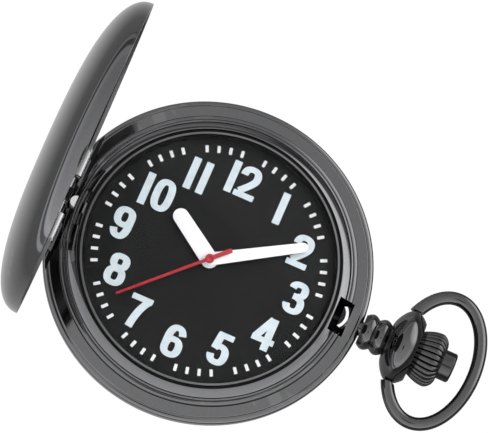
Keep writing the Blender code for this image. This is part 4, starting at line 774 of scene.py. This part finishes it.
# %% Bezel
BEZEL_INNER = 18.8
BEZEL_CREST = 9.0
BEZEL_FOOT = (20.0, 8.2)
BEZEL_OUTER = 21.05
STEPS = (
    (20.04, 8.14), (20.10, 8.27), (20.16, 8.29), (20.34, 8.22), (20.40, 8.00), (20.46, 8.00),
    (20.52, 8.07), (20.66, 8.05), (20.92, 7.93), (21.00, 7.84),
)  # fmt: skip


def bezel_point(share):
    start = BEZEL_INNER + 0.05
    fall = (BEZEL_CREST - BEZEL_FOOT[1]) * share**1.15
    return start + (BEZEL_FOOT[0] - start) * share, BEZEL_CREST - fall


profile = [(BEZEL_INNER, 7.2), (BEZEL_INNER, 8.9)] + curve_points(14, bezel_point)
profile += list(STEPS) + [(BEZEL_OUTER, 7.75), (BEZEL_OUTER, 7.2)]
bezel = turned("bezel_ring", profile, segments=288, ease=0.03)
combine(bezel, catch_slot())
combine(bezel, lift_slot())
combine(bezel, hinge_pocket())
settle(bezel, "case", "bezel", gunmetal, 32.0)

# %% [markdown]
# The glass is a low dome with a ground edge, pressed into a black seal. Both faces are modelled, since
# a single face would not bend light as a real crystal does.

# %% Crystal and its seal
CRYSTAL_RISE = 0.95
crystal_low, crystal_high = span("crystal")
edge_radius = crystal_high.y


def glass_top(share):
    return edge_radius - 0.18 - (edge_radius - 0.18) * share, 9.08 + CRYSTAL_RISE * (1 - (1 - share) ** 2)


def glass_under(share):
    return 17.75 * share, crystal_low.z + CRYSTAL_RISE * (1 - share**2)


edge = [(edge_radius, crystal_low.z), (edge_radius, 8.9)]
profile = curve_points(30, glass_under) + edge + curve_points(30, glass_top)
crystal = turned("crystal_dome", profile, ring=False, ease=0.08)
settle(crystal, "case", "crystal", glass, 60.0)
# A thin ground-glass ring on the crystal's edge, whose grey stands for the edge's highlight: painted highlight.
edge = turned("crystal_edge_highlight", [(18.08, 9.04), (18.38, 8.98), (18.38, 9.05), (18.08, 9.12)], ease=0.03)
settle(edge, "case", None, ground_glass_highlight)
seal = turned("crystal_seal", [(18.45, 7.25), (18.75, 7.25), (18.75, 8.85), (18.45, 8.85)], ease=0.08)
settle(seal, "case", "crystal_gasket", rubber)

# %% [markdown]
# The dial is a thin blackened disc, and a black wall hides the gap between it and the glass.

# %% Dial and dial wall
dial_low, dial_high = span("dial")
dial = turned(
    "dial_plate",
    [(1.0, dial_low.z), (dial_high.x, dial_low.z), (dial_high.x, DIAL_TOP), (1.0, DIAL_TOP)],
    ease=0.06,
)
settle(dial, "case", "dial", dial_black)
wall = turned("dial_wall", [(17.75, 7.55), (18.3, 7.55), (18.3, 8.4), (18.05, 8.4), (17.75, 8.1)], ease=0.06)
settle(wall, "case", "dial_ring", wall_black)

# %% [markdown]
# Minute ticks and numerals are thick paint, printed on. Each stands a few hundredths of a millimetre
# proud, enough for a bright edge. Ticks are one short bar copied round the dial, left out at each hour.

# %% Minute ticks
PRINT_THICKNESS = 0.03
TICK_INNER = 15.75
TICK_LENGTH = 1.0
TICK_WIDTH = 0.45

marks = bmesh.new()
for minute in range(60):
    if minute % 5 == 0:
        continue
    made = bmesh.ops.create_cube(marks, size=1.0)["verts"]
    size = (TICK_LENGTH * MM, TICK_WIDTH * MM, PRINT_THICKNESS * MM)
    bmesh.ops.scale(marks, vec=size, verts=made)
    at = ((TICK_INNER + TICK_LENGTH / 2) * MM, 0.0, (DIAL_TOP + PRINT_THICKNESS / 2) * MM)
    bmesh.ops.translate(marks, vec=at, verts=made)
    bmesh.ops.rotate(marks, verts=made, cent=(0, 0, 0), matrix=Matrix.Rotation(radians(6 * minute), 3, "Z"))
ticks = mesh_object("minute_ticks", marks)
settle(ticks, "case", None, tick_paint)

# %% [markdown]
# The numerals are a bold, narrow, plain style. A font file would be the quick way, but strokes give
# full control: each digit is a few brush strokes along a centre line, wider where they run upright than
# where they lie flat, and the strokes are then fused into one shape.

# %% Brush strokes for the digits
DIGIT_WIDTH = 3.05
DIGIT_HEIGHT = 4.85
STEM_HALF = 0.54
BAR_HALF = 0.42


def half_width(along):
    return hypot(STEM_HALF * along.y, BAR_HALF * along.x)


def stroke(path, closed=False):
    """A flat bar of paint that follows a path, as a mesh object on the plane of the dial."""
    points = [Vector(point) for point in path]
    count = len(points)
    shape = bmesh.new()
    rows = []
    for place, at in enumerate(points):
        before = points[place - 1] if closed or place else at
        after = points[(place + 1) % count] if closed or place < count - 1 else at
        along = (after - before).normalized()
        side = Vector((-along.y, along.x)) * half_width(along)
        corners = [at + side, at - side]
        rows.append([shape.verts.new((*(c * MM), up * MM)) for up in (0.0, PRINT_THICKNESS) for c in corners])
    loops = list(zip(rows, rows[1:] + rows[:1])) if closed else list(zip(rows, rows[1:]))
    for row, following in loops:
        for first, second in ((0, 1), (1, 3), (3, 2), (2, 0)):
            shape.faces.new((row[first], row[second], following[second], following[first]))
    if not closed:
        for row in (rows[0], rows[-1]):
            shape.faces.new((row[0], row[1], row[3], row[2]))
    return mesh_object("stroke", shape)


def bar(low, high):
    return block((*low, 0.0), (*high, PRINT_THICKNESS))


def oval(centre, radii, first_deg, last_deg, count=28, squareness=2.4):
    """Points along a slightly squared oval, from one angle to another."""
    points = []
    for step in range(count + 1):
        turn = radians(first_deg + (last_deg - first_deg) * step / count)
        reach = [abs(value) ** (2 / squareness) * (1 if value > 0 else -1) for value in (cos(turn), sin(turn))]
        points.append((centre[0] + radii[0] * reach[0], centre[1] + radii[1] * reach[1]))
    return points


def bend(first, pull, last, count=12):
    """A curve from one point to another, drawn towards a third."""
    ends = [Vector(point) for point in (first, pull, last)]
    steps = [step / count for step in range(count + 1)]
    return [tuple(ends[0] * (1 - s) ** 2 + ends[1] * 2 * s * (1 - s) + ends[2] * s * s) for s in steps]


print("strokes are", 2 * STEM_HALF, "mm wide upright and", 2 * BAR_HALF, "mm wide across")

# %% Strokes of each digit
MIDDLE = DIGIT_WIDTH / 2
REACH = MIDDLE - STEM_HALF
TOP = DIGIT_HEIGHT - BAR_HALF
BAR_TOP = DIGIT_HEIGHT - 2 * BAR_HALF


def six_strokes():
    arm = oval((MIDDLE, 2.55), (REACH, TOP - 2.55), 25, 180) + [(STEM_HALF, 1.5)]
    bowl = oval((MIDDLE, 1.55), (REACH, 1.55 - BAR_HALF), 0, 350, 35)
    return [stroke(arm), stroke(bowl, closed=True)]


def digit_strokes(digit):
    if digit == 0:
        return [stroke(oval((MIDDLE, DIGIT_HEIGHT / 2), (REACH, TOP - DIGIT_HEIGHT / 2), 0, 352, 44, 2.7), closed=True)]
    if digit == 1:
        return [bar((0.0, 0.0), (2 * STEM_HALF, DIGIT_HEIGHT))]
    if digit == 2:
        arch = oval((MIDDLE, 3.4), (REACH, TOP - 3.4), 182, -18)
        tail = bend(arch[-1], (2.25, 2.35), (0.62, 0.82))
        return [stroke(arch + tail[1:]), bar((0.0, 0.0), (DIGIT_WIDTH, 2 * BAR_HALF))]
    if digit == 3:
        upper = oval((1.47, 3.58), (0.92, TOP - 3.58), 176, -88)
        lower = oval((1.49, 1.45), (REACH, 1.45 - BAR_HALF), 88, -176)
        return [stroke(upper), stroke(lower), bar((1.0, 2.15), (1.75, 3.05))]
    if digit == 4:
        slope = stroke([(2.05, 4.75), (0.42, 1.45)])
        stem = bar((1.72, 0.0), (1.72 + 2 * STEM_HALF, DIGIT_HEIGHT))
        return [slope, stem, bar((0.0, 1.02), (3.3, 1.02 + 2 * BAR_HALF))]
    if digit == 5:
        bowl = oval((1.45, 1.6), (MIDDLE - STEM_HALF, 1.6 - BAR_HALF), 138, -174)
        return [bar((0.5, BAR_TOP), (2.82, DIGIT_HEIGHT)), stroke([(0.98, 4.6), (0.70, 2.25)]), stroke(bowl)]
    if digit == 6:
        return six_strokes()
    if digit == 7:
        return [bar((0.0, BAR_TOP), (3.1, DIGIT_HEIGHT)), stroke(bend((2.62, 4.4), (1.45, 2.9), (1.15, 0.0)))]
    if digit == 8:
        upper = oval((MIDDLE, 3.60), (0.90, TOP - 3.60), 0, 350, 35)
        lower = oval((MIDDLE, 1.46), (REACH, 1.46 - BAR_HALF), 0, 350, 35)
        return [stroke(upper, closed=True), stroke(lower, closed=True)]
    strokes = six_strokes()
    for piece in strokes:
        half_turn = Matrix.Rotation(pi, 4, "Z")
        centre = Vector((MIDDLE, DIGIT_HEIGHT / 2, 0.0)) * MM
        piece.data.transform(Matrix.Translation(centre) @ half_turn @ Matrix.Translation(-centre))
    return strokes


def digit_width(digit):
    return 2 * STEM_HALF if digit == 1 else DIGIT_WIDTH


print("digits are", DIGIT_WIDTH, "by", DIGIT_HEIGHT, "mm")

# %% [markdown]
# Each numeral is centred on its own hour line, and the radius varies a little so that wide and narrow
# numerals look evenly spaced.

# %% Numerals round the dial
NUMERAL_RADIUS = {
    1: 12.85, 2: 13.16, 3: 13.36, 4: 12.98, 5: 12.90, 6: 12.78,
    7: 12.70, 8: 13.10, 9: 13.30, 10: 12.02, 11: 12.40, 12: 12.68,
}  # fmt: skip
DIGIT_GAPS = {10: 0.5, 11: 0.83, 12: 0.34}

glyphs = []
for hour, radius in NUMERAL_RADIUS.items():
    digits = [int(letter) for letter in str(hour)]
    gap = DIGIT_GAPS.get(hour, 0.0)
    left = -(sum(digit_width(digit) for digit in digits) + gap * (len(digits) - 1)) / 2
    turn = pi / 2 - radians(30 * hour)
    centre = Vector((radius * cos(turn), radius * sin(turn)))
    for digit in digits:
        first, *others = digit_strokes(digit)
        for other in others:
            combine(first, other, "UNION")
        corner = (centre.x + left, centre.y - DIGIT_HEIGHT / 2, DIAL_TOP)
        first.data.transform(Matrix.Translation(Vector(corner) * MM))
        glyphs.append(first)
        left += digit_width(digit) + gap

printed = bmesh.new()
for glyph in glyphs:
    printed.from_mesh(glyph.data)
    bpy.data.objects.remove(glyph)
numerals = mesh_object("hour_numerals", printed)
settle(numerals, "case", None, numeral_paint, 30.0)

# %% [markdown]
# The hands are stamped from thin sheet and painted. Hour and minute hands are plain batons: the outline
# of a round hub and a round tip drawn together. A small bevel keeps a bright line on every edge.

# %% Hour and minute hands


def plate(name, outline, low, high, bevel):
    """A flat outline in millimetres, raised to a plate with softened edges."""
    shape = bmesh.new()
    face = shape.faces.new([shape.verts.new((x * MM, y * MM, low * MM)) for x, y in outline])
    raised = bmesh.ops.extrude_face_region(shape, geom=[face])["geom"]
    tops = [item for item in raised if isinstance(item, bmesh.types.BMVert)]
    bmesh.ops.translate(shape, verts=tops, vec=(0, 0, (high - low) * MM))
    bmesh.ops.recalc_face_normals(shape, faces=shape.faces)
    rims = [edge for edge in shape.edges if edge.calc_face_angle(0.0) > 1.0 and
            abs(edge.verts[0].co.z - edge.verts[1].co.z) < 1e-9]
    bmesh.ops.bevel(shape, geom=rims, offset=bevel * MM, segments=2, affect="EDGES", profile=0.6)
    return mesh_object(name, shape)


def baton(length, tip_half, hub):
    """A round hub and a round tip, joined by straight sides."""
    lean = acos((hub - tip_half) / (length - tip_half))
    far = length - tip_half
    tip = [(far + tip_half * cos(a), tip_half * sin(a)) for a in curve_points(24, lambda s: lean * (2 * s - 1))]
    back_turn = 2 * pi - 2 * lean
    heel = [(hub * cos(a), hub * sin(a)) for a in curve_points(40, lambda s: lean + back_turn * s)]
    return tip + heel


def point_hand(hand, angle_deg):
    hand.data.transform(Matrix.Rotation(radians(angle_deg), 4, "Z"))


hour_low, hour_high = span("hour_hand")
hour_hand = plate("hour_baton", baton(8.55, 1.14, 1.24), hour_low.z, hour_high.z, 0.035)
combine(hour_hand, rod(0.858, (0, 0, 7.0), (0, 0, 9.0)))
point_hand(hour_hand, 145.8)
settle(hour_hand, "hours", "hour_hand", hand_white)
minute_low, minute_high = span("minute_hand")
minute_hand = plate("minute_baton", baton(14.1, 0.685, 0.94), minute_low.z, minute_high.z, 0.035)
combine(minute_hand, rod(0.58, (0, 0, 7.0), (0, 0, 9.0)))
point_hand(minute_hand, 31.4)
settle(minute_hand, "minutes", "minute_hand", hand_white)

# %% [markdown]
# The second hand is a needle with a square counterweight, and its brass hub is painted over in the same
# red, with a small dimple where it was pressed on.

# %% Second hand
second_low, second_high = span("second_hand")
BLADE_TOP = second_low.z + 0.17
needle = [(-3.4, -0.32), (-0.62, -0.32), (-0.5, -0.25), (0.0, -0.23), (14.2, -0.184)]
outline = needle + [(x, -y) for x, y in reversed(needle)]
second_hand = plate("second_needle", outline, second_low.z + 0.02, BLADE_TOP, 0.025)
hub_profile = [(0.0, second_low.z), (0.66, second_low.z), (0.66, second_high.z - 0.04), (0.60, second_high.z)]
hub_profile += [(0.30, second_high.z), (0.24, second_high.z - 0.07), (0.0, second_high.z - 0.09)]
combine(second_hand, turned("hub", hub_profile, segments=64, ring=False, ease=0.03), "UNION")
point_hand(second_hand, 224.8)
settle(second_hand, "seconds", "second_hand", hand_red)

# %% [markdown]
# The lid is one deep drawn shell. Its section is a squared oval, steep at the rim and flat on top, with
# a turned lip inside that snaps over the catch. It is drawn shut, round its hinge, where its shape is
# easy to write down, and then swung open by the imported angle.

# %% Domed lid
LID_RADIUS = 23.1
LID_DEPTH = 5.9
LID_WALL = 0.55
LID_LIP_RADIUS = 21.75
LID_LIP_HEIGHT = 0.55
LID_OPEN_DEG = 88.5
LID_RIM = SEAT_TOP + 0.12 - HINGE.z
NOTCH_HALF = 3.0
CHEEK_LENGTH = 4.25


def dome(radius, depth):
    def point(share):
        turn = pi / 2 * share
        return radius * sin(turn) ** (2 / 3), LID_RIM + depth * cos(turn) ** (2 / 2.3)

    return point


outside = curve_points(48, dome(LID_RADIUS, LID_DEPTH))[:-1]
inside = [p for p in curve_points(48, dome(LID_RADIUS - LID_WALL, LID_DEPTH - LID_WALL)) if p[1] > LID_RIM + 0.7]
outside = [p for p in outside if p[1] > LID_RIM + 0.2]
rim = [(LID_RADIUS, LID_RIM + 0.09), (LID_RADIUS, LID_RIM), (LID_LIP_RADIUS, LID_RIM)]
rim += [(LID_LIP_RADIUS, LID_RIM + LID_LIP_HEIGHT), (LID_RADIUS - LID_WALL, LID_RIM + LID_LIP_HEIGHT)]
lid = turned("domed_lid", outside + rim + list(reversed(inside)), segments=288, ring=False)
lid.data.transform(Matrix.Translation((-HINGE.x * MM, 0, 0)))
print("lid rim stands", round(LID_RIM, 3), "mm from the hinge line")

# %% Lid knuckles, hinge notch and lift lug
KNUCKLE_GAP = 0.2
LUG_LOW = KNUCKLE_RADIUS + 0.15
CHEEK_DROP = 0.33


def cheek(low, high):
    """A lid knuckle: round over the pin, drawn out to the wall of the lid."""
    body = rod(KNUCKLE_RADIUS - 0.02, (0, low, 0), (0, high, 0), 48)
    foot_up = LID_RIM + KNUCKLE_RADIUS - CHEEK_DROP
    foot = rod(KNUCKLE_RADIUS - 0.02, (1.1, low, foot_up), (1.1, high, foot_up), 48)
    head = rod(KNUCKLE_RADIUS - 0.02, (1.1, low, 0.35), (1.1, high, 0.35), 48)
    shape = bmesh.new()
    for part in (body, foot, head):
        for vert in part.data.vertices:
            shape.verts.new(vert.co)
        bpy.data.objects.remove(part)
    hull = bmesh.ops.convex_hull(shape, input=shape.verts)
    spare = dict.fromkeys(hull["geom_interior"] + hull["geom_unused"])
    bmesh.ops.delete(shape, geom=[item for item in spare if isinstance(item, bmesh.types.BMVert)], context="VERTS")
    return mesh_object("cheek", shape)


clear = KNUCKLE_RADIUS + KNUCKLE_GAP
combine(lid, block((-4.0, -NOTCH_HALF, LID_RIM - 1), (KNUCKLE_RADIUS + 0.1, NOTCH_HALF, clear)))
for side in (-1, 1):
    ends = sorted((side * (NOTCH_HALF - OVERLAP), side * (NOTCH_HALF + CHEEK_LENGTH)))
    combine(lid, cheek(*ends), "UNION")
lug = block((LUG_LOW, -0.9, LID_RIM), (LUG_LOW + 1.05, 0.9, LID_RIM + 2.48))
combine(lid, lug, "UNION")
combine(lid, rod(PIN_HOLE, (0, -9.0, 0), (0, 9.0, 0)))
# The lid's inner faces take copies of the case metal: a lighter satin copy with a painted sheen on the lip and rim, a
# near-black copy as painted shade inside the dome, and a bright copy as painted highlight by the hinge.
focus = Vector((-HINGE.x, 0.0, LID_RIM - 2.0)) * MM
inner = [face for face in lid.data.polygons if face.normal.dot(face.center - focus) < 0.0]
lip_top = (LID_RIM + 1.1) * MM
on_lip = {face.index: 2 if face.center.z < lip_top else 1 for face in inner}
on_lip.update({face.index: 3 for face in inner if face.center.x < 2.0 * MM})
lid.data.transform(Matrix.Rotation(radians(-LID_OPEN_DEG), 4, "Y"))
lid.data.transform(Matrix.Translation(HINGE * MM))
settle(lid, "cover", "front_cover", gunmetal, 32.0)
lid.data.materials.append(lid_lining_shade)
lid.data.materials.append(rim_satin_sheen)
lid.data.materials.append(cheek_highlight_metal)
for index, finish in on_lip.items():
    lid.data.polygons[index].material_index = finish
print("lid faces with an inner finish:", len(on_lip))

# %% [markdown]
# The pendant is the turned neck that carries bow and crown: two beads and then a fat barrel. Beads are
# half waves, and the barrel is a smooth swell through a few radii. The sides are faced flat for the bow.

# %% Pendant
BEAD_RADIUS = 2.65
GROOVE_RADIUS = 2.2
BEADS = ((23.63, 25.53), (25.55, 27.45))
BARREL_START = 27.48
BARREL_END = 31.78
BARREL_NECK = 2.6
BARREL_RADIUS = 5.45
BARREL_FLAT = 5.35
BOW_X = 29.871


def swell(share):
    """Radius of the barrel along its length: a steep shoulder and a rounder far end."""
    rise = sin(min(share / 0.556, 1.0) * pi / 2) ** 0.72
    fall = cos(max(share - 0.556, 0.0) / 0.444 * pi / 2 * 0.62) ** 0.9
    return BARREL_NECK + (BARREL_RADIUS - BARREL_NECK) * rise * fall, BARREL_START + (BARREL_END - BARREL_START) * share


def bead(start, end):
    return lambda share: (GROOVE_RADIUS + (BEAD_RADIUS - GROOVE_RADIUS) * sin(pi * share), start + (end - start) * share)


profile = [(0.65, 22.83), (1.05, 22.83), (1.05, 23.58), (GROOVE_RADIUS, 23.58)]
for ends in BEADS:
    profile += curve_points(18, bead(*ends))
profile += curve_points(36, swell) + [(3.5, BARREL_END + 0.0)]
profile += [(3.25, BARREL_END), (3.25, 31.03), (1.7, 31.03), (1.7, 29.58), (0.65, 29.58)]
pendant = turned("pendant_neck", profile, segments=160)
lay_along_stem(pendant, STEM_UP)
for side in (-1, 1):
    near, far = sorted((side * BARREL_FLAT, side * 8.0))
    combine(pendant, block((26.0, near, 0.0), (33.0, far, 13.0)))
    combine(pendant, rod(0.62, (BOW_X, side * 3.85, STEM_UP), (BOW_X, side * 8.0, STEM_UP)))
settle(pendant, "case", "pendant", stem_shaded_metal, 32.0)

# %% [markdown]
# The crown is gripped between finger and thumb, so it is fluted: 28 broad ridges with narrow gaps. It
# is turned first as a plain knob with many segments, and then every point is pulled in by a repeating
# curve that is flat on the ridges and deep in the gaps.

# %% Fluted crown and button
CROWN_RIDGES = 28
FLUTE_DEPTH = 0.36
CROWN_OUTER = 35.83
CROWN_LENGTH = 4.6
CROWN_INNER_RADIUS = 2.95
CROWN_SWELL = 1.05


def knob(share):
    """Radius of the crown from its outer end inwards: a quick round, then a slow taper."""
    rise = sin(min(share / 0.3, 1.0) * pi / 2) ** 0.6
    fall = 1.0 if share < 0.3 else cos((share - 0.3) / 0.7 * pi / 2)
    return CROWN_INNER_RADIUS - 0.3 + 0.3 * rise + CROWN_SWELL * rise * fall, CROWN_OUTER - CROWN_LENGTH * share


profile = [(2.26, 32.43), (2.26, CROWN_OUTER)] + curve_points(40, knob)
profile += [(1.6, CROWN_OUTER - CROWN_LENGTH), (1.6, 29.78), (0.51, 29.78), (0.51, 32.43)]
crown = turned("fluted_crown", profile, segments=CROWN_RIDGES * 12)
for point in crown.data.vertices:
    radius = hypot(point.co.x, point.co.y) / MM
    share = (CROWN_OUTER - point.co.z / MM) / CROWN_LENGTH
    if radius > 2.5 and share > -0.01:
        turn = Vector((point.co.x, point.co.y)).angle_signed(Vector((1.0, 0.0)))
        phase = (turn * CROWN_RIDGES / (2 * pi)) % 1.0
        gap = abs(2 * phase - 1) ** 4
        fade = min(1.0, (radius - 2.5) / 0.4)
        shrink = 1 - FLUTE_DEPTH * gap * fade / radius
        point.co.x *= shrink
        point.co.y *= shrink
lay_along_stem(crown, STEM_UP)
settle(crown, "crown", "crown", crown_shaded_metal, 50.0)
button_profile = [(0.0, 34.33), (2.16, 34.33), (2.16, 37.40), (1.90, 37.62)]
button_profile += curve_points(10, lambda share: (1.86 * (1 - share), 37.63 + 0.10 * (1 - (1 - share) ** 2)))
button = turned("button_cap", button_profile, segments=128, ring=False, ease=0.06)
lay_along_stem(button, STEM_UP)
settle(button, "button", "push_button", crown_shaded_metal, 40.0)

# %% [markdown]
# The bow is an oval of round wire whose ends are cut square and pegged into the barrel. A path swept by
# a circle does it, and two cuts square off the ends.

# %% Bow
WIRE_RADIUS = 0.95
BOW_HALF_LENGTH = 6.0
BOW_HALF_WIDTH = 9.63
BOW_END = 5.6
lean = acos(BOW_END / BOW_HALF_WIDTH)
bow_centre = BOW_X + BOW_HALF_LENGTH * sin(lean)
overrun = 0.06


def sweep(name, path, radius, axis, around=40):
    """A round wire along a path that winds about an axis, with closed ends."""
    shape = bmesh.new()
    rings = []
    for place, at in enumerate(path):
        before, after = path[max(place - 1, 0)], path[min(place + 1, len(path) - 1)]
        along = (after - before).normalized()
        side = axis.cross(along).normalized()
        lift = along.cross(side)
        turns = [2 * pi * step / around for step in range(around)]
        spokes = [side * cos(turn) + lift * sin(turn) for turn in turns]
        rings.append([shape.verts.new((at + spoke * radius) * MM) for spoke in spokes])
    for ring, following in zip(rings, rings[1:]):
        for step in range(around):
            nearby = (step + 1) % around
            shape.faces.new((ring[step], ring[nearby], following[nearby], following[step]))
    shape.faces.new(rings[0])
    shape.faces.new(rings[-1])
    return mesh_object(name, shape)


def bow_point(share):
    turn = (pi / 2 + lean + overrun) * (2 * share - 1)
    return Vector((bow_centre + BOW_HALF_LENGTH * cos(turn), BOW_HALF_WIDTH * sin(turn), STEM_UP))


bow = sweep("bow_ring", curve_points(160, bow_point), WIRE_RADIUS, Vector((0, 0, 1)))
combine(bow, block((BOW_X - 3.0, -BOW_END, 0.0), (BOW_X + 2.2, BOW_END, 13.0)))
for side in (-1, 1):
    combine(bow, rod(0.52, (BOW_X, side * 4.05, STEM_UP), (BOW_X, side * 6.12, STEM_UP), 32), "UNION")
settle(bow, "bow", "bow", stem_shaded_metal, 50.0)

# %% [markdown]
# A small coil between the floor of the crown and the button brings the button back. A real coil
# shortens as the button goes in, so this one is squashed along the stem towards the crown's floor.

# %% Return spring of the button
COIL_WIRE = 0.15
COIL_RADIUS = 1.25
COIL_TURNS = 3.5
coil_low, coil_high = span("button_spring")
coil_start = coil_low.x + COIL_WIRE
coil_length = coil_high.x - COIL_WIRE - coil_start


def coil_point(share):
    turn = 2 * pi * COIL_TURNS * share
    across = COIL_RADIUS * cos(turn)
    return Vector((coil_start + coil_length * share, across, STEM_UP + COIL_RADIUS * sin(turn)))


coil = sweep("button_coil", curve_points(140, coil_point), COIL_WIRE, Vector((1, 0, 0)), 12)
settle(coil, "crown", "button_spring", steel)
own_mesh(coil)

# %% [markdown]
# A thin white crescent along the outer edge of the catch's hook is a painted highlight.

# %% Painted highlight on the catch
HOOK_TOP = span("latch_spring")[1].z
HOOK_END = span("latch_spring")[1].x
CRESCENT_RADIUS = 2.3
CRESCENT_WIDTH = 0.42

outer_arc = [radians(angle) for angle in range(-44, 45, 4)]
middle_x = HOOK_END - CRESCENT_RADIUS
outline = [(middle_x + CRESCENT_RADIUS * cos(a), CRESCENT_RADIUS * sin(a)) for a in outer_arc]
inner = [(middle_x - CRESCENT_WIDTH + CRESCENT_RADIUS * cos(a), 0.92 * CRESCENT_RADIUS * sin(a)) for a in outer_arc]
catch_highlight = plate("catch_highlight", outline + inner[::-1], HOOK_TOP - 0.2, HOOK_TOP + 0.02, 0.02)
settle(catch_highlight, "latch", None, white_glint_coat)

# %% [markdown]
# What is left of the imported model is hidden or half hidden: springs, pins and the movement. These keep
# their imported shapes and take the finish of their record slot.

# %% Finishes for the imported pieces
FINISHES = {
    "gunmetal": gunmetal,
    "steel": steel,
    "brass": brass,
    "black_dial": dial_black,
    "black_rubber": rubber,
    "white_enamel": hand_white,
    "red_enamel": hand_red,
    "glass": glass,
    "holder_plastic": holder_plastic,
    "board_green": board_green,
    "copper_wire": copper,
}
subparts = frame["record"]["subparts"]
for entry in subparts:
    node = frame["nodes"][entry["node"]]
    node.data.materials.clear()
    node.data.materials.append(FINISHES[entry["material_slot"]])
    node.data.shade_smooth()
    node.data.set_sharp_from_angle(angle=radians(30.0))
# The latch spring takes the near-black steel: painted shade in the catch slot.
# The lift spring's tip takes the white glint coat: a painted reflection.
for name, finish in (("lift_spring", white_glint_coat), ("latch_spring", dark_steel), ("setting_stem", dark_steel)):
    frame["nodes"][name].data.materials[0] = finish
print("packed nodes with a finish:", len(subparts))
